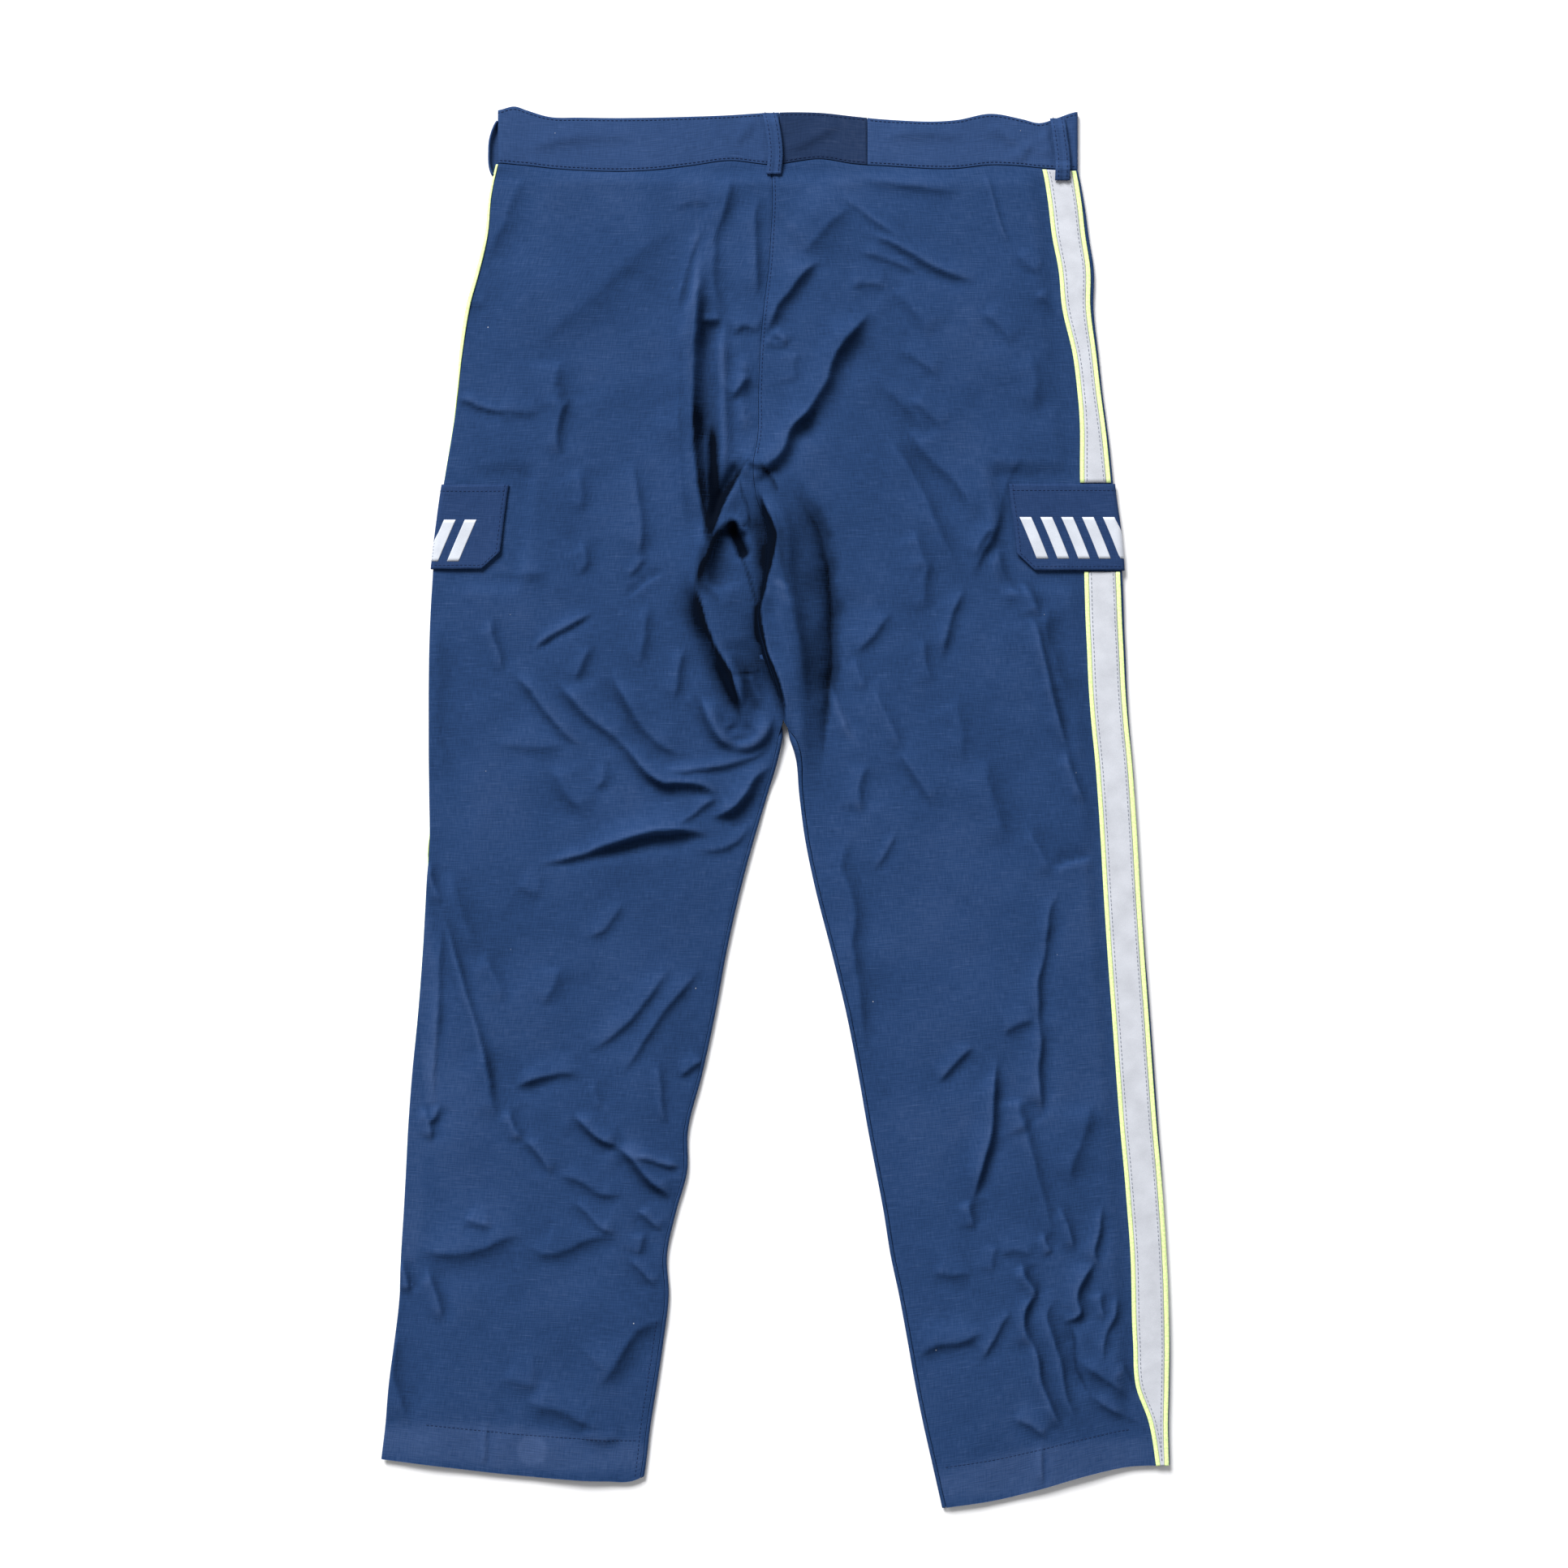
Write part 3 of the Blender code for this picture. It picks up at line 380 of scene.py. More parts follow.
SHIN_LEFT = [
    Crease(2.3, 3, [(-265, -42), (-261, -60), (-254, -74)]),
    Crease(2.2, 2.4, [(-256, -72), (-248, -102), (-240, -130), (-232, -155), (-224, -183),
                      (-218, -208),
                      (-215, -228), (-212, -242)]),
    Crease(1.8, 6, [(-226, -182), (-219, -206), (-216, -226), (-211, -240)]),
    Crease(1.4, 2.4, [(-255, -78), (-257, -120), (-259, -170), (-262, -214), (-262, -236)]),
    Crease(1.8, 6, [(-250, -46), (-241, -72), (-233, -94), (-225, -112)]),
    Crease(1.7, 5, [(-224, -110), (-213, -130), (-205, -150)]),
    Crease(1.3, 7, [(-162, -122), (-168, -138), (-178, -154)]),
    Crease(1.3, 4, [(-116, -72), (-124, -86), (-134, -97), (-146, -100)]),
    Crease(1.3, 6, [(-200, -60), (-188, -66), (-178, -68)]),
    Crease(2.3, 4, [(-202, -216), (-190, -212), (-175, -207), (-160, -205), (-146, -207)]),
    Crease(1.8, 4.5, [(-79, -120), (-95, -145), (-118, -172), (-146, -190)]),
    Crease(1.8, 4, [(-54, -121), (-75, -146), (-92, -168), (-106, -190), (-121, -209)]),
    Crease(1.8, 2.8, [(-91, -194), (-87, -212), (-86, -230), (-82, -246)]),
    Crease(1.7, 3, [(-74, -208), (-63, -200), (-54, -194)]),
    Crease(1.3, 3, [(-140, -210), (-136, -222), (-132, -232)]),
    Crease(2.2, 3, [(-272, -229), (-266, -238), (-263, -248), (-264, -258)]),
    Crease(1.8, 2.6, [(-258, -228), (-260, -238), (-266, -244)]),
    Crease(2.1, 3, [(-206, -230), (-200, -242), (-192, -256)]),
    Crease(1.8, 3, [(-194, -254), (-180, -270), (-172, -284)]),
    Crease(1.7, 4, [(-168, -282), (-150, -288), (-136, -297), (-114, -298)]),
    Crease(3.6, 3.8, [(-156, -234), (-145, -247), (-130, -258), (-119, -262)]),
    Crease(3.8, 4.2, [(-124, -259), (-112, -270), (-102, -283), (-90, -294), (-78, -303)]),
    Crease(2.3, 2.8, [(-110, -268), (-97, -271), (-85, -275), (-71, -277)]),
    Crease(1.8, 3, [(-157, -301), (-145, -312), (-131, -325), (-120, -329)]),
    Crease(1.7, 3, [(-107, -309), (-97, -318), (-87, -327)]),
    Crease(1.8, 2.8, [(-114, -346), (-104, -356), (-91, -370)]),
    Crease(1.4, 4, [(-100, -326), (-102, -338), (-105, -346)]),
    Crease(2.1, 8, [(-278, -342), (-240, -345), (-218, -339), (-204, -332), (-190, -331)]),
    Crease(2.1, 8, [(-194, -334), (-176, -345), (-156, -340), (-140, -333), (-116, -333)]),
    Crease(1.4, 4, [(-240, -316), (-228, -321), (-216, -322)]),
    Crease(2.3, 2.6, [(-288, -348), (-284, -356), (-280, -374)]),
    Crease(1.9, 3.5, [(-268, -351), (-262, -366), (-256, -384), (-253, -398)]),
    Crease(2.4, 9, [(-82, -394), (-104, -405), (-115, -420), (-125, -437), (-138, -448)]),
    Crease(1.8, 6, [(-288, -402), (-291, -434), (-285, -458), (-278, -474)]),
    Crease(1.6, 7, [(-195, -456), (-180, -462), (-162, -466), (-148, -474), (-132, -477)]),
    Crease(1.2, 5, [(-152, -483), (-136, -487), (-116, -486)]),
    Crease(1.0, 1.8, [(-222, -472), (-222, -490), (-223, -508)]),
    Crease(1.3, 8, [(-212, -438), (-196, -444), (-180, -446)]),
]
THIGH_RIGHT = [
    Crease(2.1, 6, [(98, 294), (114, 270), (134, 252), (146, 232), (148, 216)]),
    Crease(1.9, 6, [(84, 292), (104, 262), (120, 232), (132, 205), (146, 178)]),
    Crease(2.4, 4.2, [(190, 272), (180, 250), (174, 225), (167, 205), (158, 190), (149, 172)]),
    Crease(1.8, 4, [(168, 216), (160, 205), (154, 190)]),
    Crease(2.1, 4, [(147, 170), (138, 151), (133, 132), (128, 110)]),
    Crease(2.1, 7, [(122, 192), (116, 172), (120, 150)]),
    Crease(1.8, 6, [(108, 214), (114, 196), (118, 182)]),
    Crease(1.5, 4, [(90, 151), (76, 131), (60, 116)]),
    Crease(1.3, 4, [(60, 116), (66, 103), (72, 90)]),
    Crease(1.4, 4, [(114, 132), (117, 110), (124, 94)]),
    Crease(1.7, 4, [(171, 202), (177, 182), (191, 158)]),
    Crease(2.1, 5, [(191, 180), (199, 162), (205, 146)]),
    Crease(3.4, 3.4, [(190, 148), (199, 142), (204, 128), (209, 108), (215, 82), (221, 58),
                      (227, 38)]),
    Crease(2.1, 8, [(210, 162), (212, 132), (221, 106), (229, 74)]),
    Crease(1.7, 3, [(222, 46), (230, 24), (240, 2)]),
    Crease(1.8, 4, [(42, 100), (50, 78), (60, 52)]),
    Crease(1.5, 4, [(76, 94), (90, 64), (100, 42)]),
    Crease(1.4, 4, [(92, 44), (105, 25), (123, -2)]),
    Crease(1.4, 7, [(140, 88), (146, 48), (144, 30)]),
    Crease(1.8, 9, [(163, 42), (168, 15), (176, -10), (184, -28)]),
    Crease(1.5, 4, [(194, -14), (205, -34), (214, -54)]),
    Crease(1.7, 5, [(72, 34), (66, 14), (68, -6)]),
    Crease(1.3, 3, [(94, -18), (86, -34), (76, -50)]),
    Crease(-1.3, 3, [(212, -46), (228, -41), (246, -38)]),
]
SHIN_RIGHT = [
    Crease(2.1, 6.5, [(64, -14), (53, -44), (60, -64), (64, -84), (62, -104), (66, -134),
                      (69, -166), (72, -196)]),
    Crease(2.5, 3.6, [(221, -64), (213, -75), (210, -95), (207, -115), (203, -131), (203, -156),
                      (203, -178)]),
    Crease(2.5, 3.6, [(203, -160), (205, -182), (203, -198), (205, -222), (205, -238)]),
    Crease(1.6, 3, [(124, -213), (138, -198), (154, -182)]),
    Crease(1.4, 5, [(174, -175), (188, -168), (200, -163)]),
    Crease(3.6, 4, [(171, -190), (169, -225), (167, -250), (162, -271), (156, -290), (150, -307)]),
    Crease(2.3, 4, [(149, -300), (151, -312), (154, -324)]),
    Crease(1.9, 5, [(191, -226), (195, -250), (200, -271), (208, -300), (214, -332)]),
    Crease(2.1, 6, [(189, -222), (190, -236), (196, -248)]),
    Crease(2.1, 8, [(246, -226), (238, -256), (230, -280), (228, -294)]),
    Crease(2.4, 3, [(252, -303), (249, -328), (246, -343), (251, -354)]),
    Crease(3.4, 3.6, [(247, -347), (238, -361), (233, -376), (235, -388), (218, -397)]),
    Crease(1.8, 3, [(217, -303), (225, -320), (231, -342)]),
    Crease(1.9, 2.6, [(206, -326), (209, -335), (214, -342)]),
    Crease(3.2, 3, [(189, -349), (193, -360), (200, -370), (201, -379)]),
    Crease(3.4, 3.6, [(201, -372), (193, -387), (192, -397), (199, -414)]),
    Crease(3.2, 3.2, [(193, -400), (201, -417), (205, -440), (213, -460), (223, -480)]),
    Crease(2.5, 3.6, [(218, -374), (209, -390), (213, -402), (220, -425), (223, -446), (233, -475)]),
    Crease(-2.1, 3.4, [(227, -394), (230, -412), (232, -430), (242, -452)]),
    Crease(1.8, 5, [(230, -424), (245, -435), (260, -445), (276, -462)]),
    Crease(1.8, 4, [(240, -450), (255, -462), (270, -470), (284, -476)]),
    Crease(1.8, 2.8, [(250, -370), (251, -382), (254, -394)]),
    Crease(1.9, 3, [(263, -372), (262, -390), (255, -403), (252, -426)]),
    Crease(1.8, 3, [(265, -424), (272, -435), (276, -452)]),
    Crease(1.7, 3.5, [(183, -384), (175, -396), (168, -410), (157, -427)]),
    Crease(2.3, 6, [(108, -425), (124, -415), (145, -411), (162, -402)]),
    Crease(1.4, 6, [(118, -358), (134, -361), (152, -358)]),
    Crease(1.1, 1.8, [(205, -488), (205, -504), (206, -522)]),
    Crease(1.3, 5, [(172, -345), (184, -341), (198, -346)]),
    Crease(1.3, 4, [(171, -336), (168, -346), (167, -358)]),
    Crease(1.4, 4, [(180, -470), (196, -476), (208, -486)]),
]
CREASES = CROTCH + SEAT_LEFT + SEAT_RIGHT + THIGH_LEFT + SHIN_LEFT + THIGH_RIGHT + SHIN_RIGHT
# The direction, seen from above, that the creases drop away to
SHADE_X, SHADE_Y = 0.5, -0.87
# Where folds and creases fade out at both ends, in shares of their length
FOLD_ENDS, CREASE_ENDS = 0.22, 0.28
# Across a crease, in shares of its reach: where its lip lies, how far the round crown runs up
# to the lip, how fast the drop past it eases out, and the reach of the trough beyond
LIP_AT, CROWN_REACH, DROP_RATE, TROUGH_REACH = -0.35, 2.6, 1.15, 3.2
CROWN, TROUGH = 1.3, 1.0
# A crease's own reach at its ends, how much wider it gets, and up to what strength
END_REACH, WIDENING, STRONGEST = 0.5, 0.4, 1.2
# How far its ends are rounded, how much it swells and thins, and how far it wavers
ROUND_ENDS, SWELL, WAVER = 1.5, 0.35, 0.13
# The painted shade past a crease: how dark for each millimetre of drop and how much darker
# where the crease runs up and down, how sharp its edge is, and how it fades
SHADE, UPRIGHT_SHADE, SHADE_EDGE, SHADE_RATE = 0.095, 0.75, 0.25, 0.9
# Ridges are rubbed paler and given a painted highlight, and valleys get painted shade: by how
# much, for this many millimetres over or under the cloth around, which is the relief blurred
# this many times
WEAR_AND_SHADE, WEAR_AND_SHADE_HEIGHT, WEAR_AND_SHADE_BLUR = 0.26, 1.2, 40

# Smooth random waves. A wave has its own seed, a spacing in millimetres and a height
Wave = namedtuple("Wave", "seed spacing height")
CLOTH_WAVES = [Wave(3, 46, 1.2), Wave(4, 19, 0.34), Wave(5, 9, 0.07)]
UNDER_WAVE = Wave(8, 25, 0.12)
BAND_WAVES = [Wave(11, 30, 0.25), Wave(12, 11, 0.12)]
WAVER_WAVES = [Wave(21, 13, 1.0), Wave(22, 6, 0.5)]
SWELL_WAVES = [Wave(23, 24, 1.0)]
# Soft drifts of the cloth's tone: here the height is how much paler or darker
DRIFTS = [Wave(31, 40, 0.075), Wave(32, 17, 0.045)]

# The hem's share of the loft, and how far above the hem the full loft is back
HEM_LOFT, HEM_LOFT_FROM, HEM_LOFT_OVER = 0.35, 20, 90
# The loft goes down to the legs' inner edges from this far above their parting, over this far
PARTING_FROM, PARTING_OVER = 30, 90
# The relief is calm below the waist, under the right stripe and beside the flaps: how calm, how
# far from the edges, the rows of the flaps, and over how many millimetres it calms down
CALM, CALM_OVER, WAIST_CALM_OVER = 0.85, 14, 16
STRIPE_CALM, FLAP_CALM, FLAP_FOLD_CALM = 44, 100, 26
FLAP_CALM_LOW_Y, FLAP_CALM_HIGH_Y = 162, 268
# The cloth rises to the waistband's seam turnings by this much, over this far
SEAM_RISE, SEAM_RISE_FROM, SEAM_RISE_OVER = 0.7, 14, 12
# How softly the height runs into its least and its greatest value
SOFT_LEAST, SOFT_MOST = 0.9, 1.8

# The lower layer is lifted over a stripe and a flap and for this far past them, and comes down
# over the eases; it is creased only away from the leg's edges
PAST_STRIPE, PAST_FLAP, BESIDE_FLAP = 48, 56, 44
LIFT_EASE, ROW_EASE, STRIPE_EASE = 20, 16, 5
CREASED_FROM_FOLD, CREASED_FROM_INNER = 60, 40

# The inner edge of a parted leg: half its height, between two limits, how far the front panel
# comes over it, and how far before it the front panel leaves the floor
TURN_SHARE, TURN_LEAST, TURN_MOST = 0.36, 2.0, 5.5
CURL_OVER, CURL_START = 1.0, 3.0
# The share of the curl that stays flat at both ends, and how far its end lies under the back panel
CURL_FLAT, CURL_BELOW = 0.12, 0.5
TURN_OVER = 18

# Low creases of the cloth that lies on the surface
UNDER_FOLDS = [
    Fold("front seat left", 1.4, 8, [(-150, 420), (-120, 360), (-95, 290)]),
    Fold("front seat right", 1.4, 8, [(150, 430), (120, 350), (80, 300)]),
    Fold("front crotch left", 1.6, 6, [(-120, 240), (-70, 225), (-30, 232)]),
    Fold("front crotch right", 1.6, 6, [(110, 250), (60, 228), (20, 232)]),
    Fold("front thigh left", 1.2, 7, [(-180, 120), (-140, 60), (-90, 20)]),
    Fold("front thigh right", 1.2, 7, [(190, 110), (150, 50), (110, 10)]),
    Fold("front knee left", 1.5, 7, [(-220, -60), (-160, -80), (-90, -70)]),
    Fold("front knee right", 1.5, 7, [(90, -70), (150, -90), (220, -70)]),
    Fold("front shin left", 1.3, 8, [(-220, -180), (-190, -260), (-150, -330)]),
    Fold("front shin right", 1.3, 8, [(130, -190), (160, -270), (200, -340)]),
    Fold("front hem left", 1.2, 9, [(-240, -400), (-190, -430), (-140, -420)]),
    Fold("front hem right", 1.2, 9, [(160, -420), (200, -450), (240, -440)]),
]

# Hollows that no light reaches, given painted shade as beside a crease, sharp at the line and
# softer beyond. The height only says how dark.
HOLLOWS = [
    Crease(12.0, -6, [(-64, 176), (-61, 162), (-56, 140), (-46, 119), (-36, 98), (-29, 78),
                      (-26, 60)]),
    Crease(4.0, -5, [(-48, 214), (-55, 196), (-61, 176), (-63, 160), (-60, 142)]),
    Crease(11.0, -3.5, [(-14, 272), (-22, 266), (-30, 254), (-38, 239), (-46, 220), (-52, 200)]),
    Crease(7.0, 8, [(-28, 224), (-37, 216), (-45, 204), (-52, 188), (-57, 173), (-58, 158)]),
    Crease(7.0, 8, [(-60, 340), (-59, 300), (-58, 270), (-54, 240), (-51, 214), (-49, 186)]),
    Crease(12.0, -4, [(-16, 250), (-11, 234), (-5, 219), (-2, 206), (-4, 192), (-8, 176),
                      (-11, 160), (-14, 140)]),
    Crease(12.0, -2.6, [(-9, 168), (-12, 152), (-11, 138), (-8, 122), (-3, 108), (2, 94), (6, 78),
                        (8, 56)]),
    Crease(4.0, -22, [(-2, 262), (13, 244), (24, 224), (31, 205), (36, 182), (39, 155), (39, 130),
                      (37, 104),
                      (35, 80), (33, 50)]),
    Crease(9.0, -9, [(-36, 104), (-28, 106), (-18, 108), (-6, 112)]),
    Crease(6.0, -3, [(-14, 268), (-8, 258), (-2, 250), (2, 238)]),
]
# Painted shade as dark lines in the deepest places: the height is how much darker they are
PITS = [
    Fold("seat gully", -1.1, 3.4, [(-50, 300), (-47, 272), (-46, 250), (-47, 232), (-50, 214),
                                   (-52, 200)]),
    Fold("pouch hole", -1.6, 3.6, [(-37, 222), (-31, 212), (-29, 206), (-26, 199), (-22, 188)]),
    Fold("between the legs", -1.3, 2.4, [(-15, 158), (-14, 148), (-14, 138), (-12, 124)]),
    Fold("under the peak", -0.8, 2.4, [(-24, 265), (-14, 260), (-4, 258), (6, 262)]),
    Fold("pouch seam", -0.7, 0.9, [(-28, 256), (-25, 240), (-21, 228), (-20, 216), (-23, 208)]),
    Fold("pouch seam foot", -0.8, 0.9, [(-31, 202), (-28, 196), (-22, 182), (-17, 165), (-13, 152)]),
    Fold("below the pouch", -0.5, 4.0, [(-25, 106), (-20, 92), (-14, 72)]),
    Fold("pouch corner", -0.6, 5.0, [(-18, 226), (-13, 208), (-11, 194), (-10, 178)]),
]

# Places where the cloth is paler: centre, half sizes, turn in degrees, how much, how soft an edge
Fade = namedtuple("Fade", "x y half_x half_y turn amount edge")
PALER_PLACES = [
    Fade(-187, -493.7, 11.5, 11.5, 0, 0.36, 0.14),
    Fade(-280, -298, 9, 60, -2, 0.16, 0.5),
    Fade(-267, -150, 8, 85, 3, 0.22, 0.3),
    Fade(4, 171, 6, 3, -35, 0.5, 0.6),
    Fade(9, 160, 8, 4, -30, 0.25, 0.8),
    Fade(48, 78, 5, 16, 25, 0.16, 0.7),
    Fade(57, 60, 5, 12, 20, 0.22, 0.6),
    Fade(-108, -262, 8, 12, 15, 0.12, 0.7),
    Fade(-85, -275, 18, 5, -18, 0.12, 0.8),
    Fade(-200, -492, 110, 17, -4, 0.34, 0.3),
    Fade(205, -508, 90, 17, 10, 0.34, 0.3),
    Fade(240, -90, 18, 16, 0, 0.14, 0.8),
    Fade(-60, 360, 3, 90, 0, 0.25, 0.7),
    # The next two are painted light: the seat is paler towards the waist, as the light falls from there
    Fade(-150, 470, 60, 22, 0, 0.12, 0.9),
    Fade(60, 478, 60, 16, 0, 0.12, 0.9),
    Fade(5, 130, 10, 60, 5, 0.12, 0.8),
]

# Belt loops: middle line of each upright loop, how far it rises between its sewn ends and over
# what length, and how much its width rolls
LOOP_WIDTH = 11.0
LOOP_RISE, LOOP_RISE_OVER = 2.2, 9
LOOP_LIE = 0.3
LOOP_ROLL = 0.35
# A loop clears what lies within this far along it. The waistband counts from this far below its
# seam and as this much higher, the stripe as far in as the third and as high as the fourth
LOOP_CLEAR = 4
NEAR_BAND, OVER_BAND, STRIPE_REACH, OVER_STRIPE = 2, 0.3, 34, 1.5
# The two lengthwise lines of a loop's grid that its stitches follow
LOOP_STITCHES = (2, -3)
# The loop at the left fold: the way round from its lower to its upper end, its length, where it
# starts up the waistband, how far it bows out and how far its foot stands off
SIDE_LOOP_FROM, SIDE_LOOP_TO, SIDE_LOOP_LENGTH = -15, 2.0, 45
SIDE_LOOP_START, SIDE_LOOP_BULGE, SIDE_LOOP_FOOT = 0.78, 6.0, 3
# How full the bow is (less is fuller), and where it begins on the way round, over what stretch
SIDE_LOOP_FULL, SIDE_LOOP_BOW_FROM, SIDE_LOOP_BOW_OVER = 0.8, -13, 10
CENTRE_LOOP = [(-4.5, 533.2), (-1.5, 518), (0.0, 503), (-1.2, 486)]
RIGHT_LOOP = [(216.5, 529.0), (218.3, 515), (220.3, 500), (220.3, 481.5)]

# Waistband: its height and the fold at its sides, its ends, its insert and its end at the fly
BAND_TOP = 5.6
BAND_RADIUS, BAND_QUARTER = 2.7, 4.3
BAND_LEFT_X, BAND_RIGHT_X = -213.4, 232.5
INSERT_LEFT_X, INSERT_RIGHT_X = 3.0, 70.5
FLY_X = 6.0
# Its lower layer is lifted at the left side, over the cloth below, and its waves start past the fold
BAND_LIFT, BAND_LIFT_FROM, BAND_LIFT_OVER, BAND_WAVES_OVER = 1.5, 54, 22, 14
# Shares of the waistband's height: rows close together at both edges, where the even rows
# between them start, how many they are, and the stitch lines
BAND_EDGE = np.array([0, 0.012, 0.03])
BAND_MIDDLE, BAND_ROWS = 0.06, 15
BAND_STITCHES = (0.05, 0.95)
BAND_CREASES = [
    Crease(0.8, 5, [(-196, 503), (-172, 509), (-140, 513), (-104, 513)]),
    Crease(0.7, 4, [(-30, 508), (-20, 520), (-14, 530)]),
    Crease(0.9, 4, [(8, 503), (30, 512), (52, 524)]),
    Crease(0.7, 5, [(80, 512), (110, 516), (150, 512)]),
    Crease(1.0, 3, [(190, 494), (192, 501), (199, 509)]),
    Crease(1.2, 2.6, [(207, 522), (211, 510), (214, 498)]),
    Crease(0.8, 4, [(160, 520), (175, 514), (188, 506)]),
]

# Seam stitches: the hem's depth, the inseam's upper end on the left leg, and the fly's width,
# foot and the stretch over which it curves in
HEM_DEPTH = 30
INSEAM_TOP_Y = -392
FLY_WIDTH, FLY_FOOT_Y, FLY_CURVE_Y, FLY_CURVE = 34, 330, 365, 70
# How far above the crotch the centre stitches end, and how far the hem's ones stay from the
# outer fold and the inner edge
CENTRE_END, HEM_FROM_FOLD, HEM_FROM_INNER = 34, 34, 8
# Distance of the seam stitches from the leg's inner edge
CENTRE_INSET, INSEAM_INSET, FLY_INSET = 2.2, 7.5, 2
# How far the stitches stand off the cloth
THREAD_LIFT, BAND_THREAD_LIFT = 0.1, 0.15

# The floor's half width and how far it lies below the cloth, in metres
FLOOR_REACH, FLOOR_Z = 4, -0.0008
# The lights: where each one stands and how wide it is, in metres
Light = namedtuple("Light", "spot width")
LIGHTS = {"key": Light((-4.2, 8.0, 7.6), 5.5), "fill": Light((7.0, 1.0, 8.0), 5.0)}


def linear(colour):
    """An sRGB hex colour as linear red, green, blue and alpha."""
    parts = [int(colour[i:i + 2], 16) / 255 for i in (1, 3, 5)]
    return tuple(p / 12.92 if p <= 0.04045 else ((p + 0.055) / 1.055) ** 2.4 for p in parts) + (1.0,)


def length(name, description, default):
    """A length property in metres."""
    return FloatProperty(name=name, description=description, default=default, min=0.0, unit="LENGTH")


def colour(name, description, default):
    """A colour property from an sRGB hex value."""
    return FloatVectorProperty(name=name, description=description, default=linear(default), size=4,
                               min=0.0, max=1.0, subtype="COLOR")


class TrouserSizes(bpy.types.PropertyGroup):
    """Thicknesses and stitch sizes."""

    cloth_wall: length("Cloth wall", "Thickness of the leg cloth", 0.0007)
    band_wall: length("Band wall", "Thickness of the folded waistband", 0.0016)
    flap_wall: length("Flap wall", "Thickness of the pocket flaps", 0.0011)
    loop_wall: length("Loop wall", "Thickness of the belt loops", 0.0012)
    tape_wall: length("Tape wall", "Thickness of the reflective tape", 0.0005)
    piping_wall: length("Piping wall", "Thickness of the piping", 0.0006)
    stitch: length("Stitch", "Length of one stitch", 0.0024)
    stitch_gap: length("Stitch gap", "Distance between two stitches", 0.0009)
    thread: length("Thread", "Width of the sewing thread", 0.0006)


class TrouserColours(bpy.types.PropertyGroup):
    """Colours of the cloths and trims."""

    navy: colour("Navy", "Leg cloth", "#243c63")
    flap: colour("Flaps", "Cloth of the pocket flaps", "#253a60")
    band: colour("Waistband", "Waistband cloth, a little paler", "#2c436b")
    insert: colour("Insert", "Dark stretch insert", "#21314f")
    tape: colour("Tape", "Reflective tape", "#c2c5cd")
    piping: colour("Piping", "Neon piping", "#dff7a6")
    navy_thread: colour("Navy thread", "Topstitching on the cloth", "#19284a")
    tape_thread: colour("Tape thread", "Stitching on the tape", "#7b808d")
    bars: colour("Bars", "Silver bars on the flaps", "#c6cbd5")
    floor: colour("Floor", "Pale floor", "#fbfbfc")
    sky: colour("Sky", "Light from all round", "#fcfdff")


class TrouserStage(bpy.types.PropertyGroup):
    """Camera and lights."""

    camera_height: length("Camera height", "Height of the camera over the floor", 2.348)
    camera_x: FloatProperty(name="Camera X", description="Sideways place of the camera",
                            default=0.0066, unit="LENGTH")
    camera_y: FloatProperty(name="Camera Y", description="Lengthways place of the camera",
                            default=0.018, unit="LENGTH")
    lens: FloatProperty(name="Lens", description="Focal length in millimetres",
                        default=70.0, min=1.0)
    key_power: FloatProperty(name="Key light", description="Power of the key light",
                             default=2380.0, min=0.0)
    fill_power: FloatProperty(name="Fill light", description="Power of the fill light",
                              default=170.0, min=0.0)
    sky: FloatProperty(name="Sky", description="Strength of the light from all round",
                       default=0.235, min=0.0)


def step(value):
    """Run smoothly from 0 to 1 as the value does."""
    value = np.clip(value, 0.0, 1.0)
    return value * value * (3.0 - 2.0 * value)


def smooth(at, known, values):
    """Read a smooth curve that passes through the known points."""
    known = np.asarray(known, float)
    values = np.asarray(values, float)
    slope = np.gradient(values, known)
    i = np.clip(np.searchsorted(known, at) - 1, 0, len(known) - 2)
    width = known[i + 1] - known[i]
    u = (at - known[i]) / width
    start = (1 + 2 * u) * (1 - u) ** 2 * values[i] + u * (1 - u) ** 2 * width * slope[i]
    end = u * u * (3 - 2 * u) * values[i + 1] + u * u * (u - 1) * width * slope[i + 1]
    return start + end


def column(table, name):
    """One named column of a table."""
    return [getattr(row, name) for row in table]


def smooth_line(points, count):
    """A smooth line through a few points: its X, its Y and the way along it."""
    points = np.asarray(points, float)
    along = np.concatenate([[0.0], np.cumsum(np.hypot(*np.diff(points, axis=0).T))])
    at = np.linspace(0, along[-1], count)
    return smooth(at, along, points[:, 0]), smooth(at, along, points[:, 1]), at


def spread(low, high, count, middle, reach, crowding):
    """Places from low to high that stand closer together round the middle."""
    fine = np.linspace(low, high, 600)
    weight = 1.0 + crowding * np.exp(-(((fine - middle) / reach) ** 2))
    total = np.concatenate([[0.0], np.cumsum((weight[1:] + weight[:-1]) / 2)])
    return np.interp(np.linspace(0, total[-1], count), total, fine)


def waist_seam(x, upper):
    """Y of the waist seam: it waves on the upper layer and runs straight on the lower one."""
    straight = np.interp(x, [BAND_LEFT_X, BAND_RIGHT_X], [WAIST_Y, WAIST_Y - LOWER_SEAM_FALL])
    return np.where(upper, smooth(x, column(WAIST, "x"), column(WAIST, "seam")), straight)


def section(name, y):
    """X of one outline curve at a height along the leg."""
    return smooth(-np.asarray(y, float), [-row.y for row in SECTIONS], column(SECTIONS, name))


def stripe_edges(leg, y):
    """Back edge and front edge of the side stripe, measured round the cloth from the fold."""
    known = [-row.y for row in leg.stripe]
    back = smooth(-y, known, column(leg.stripe, "back"))
    return back, back - smooth(-y, known, column(leg.stripe, "width"))


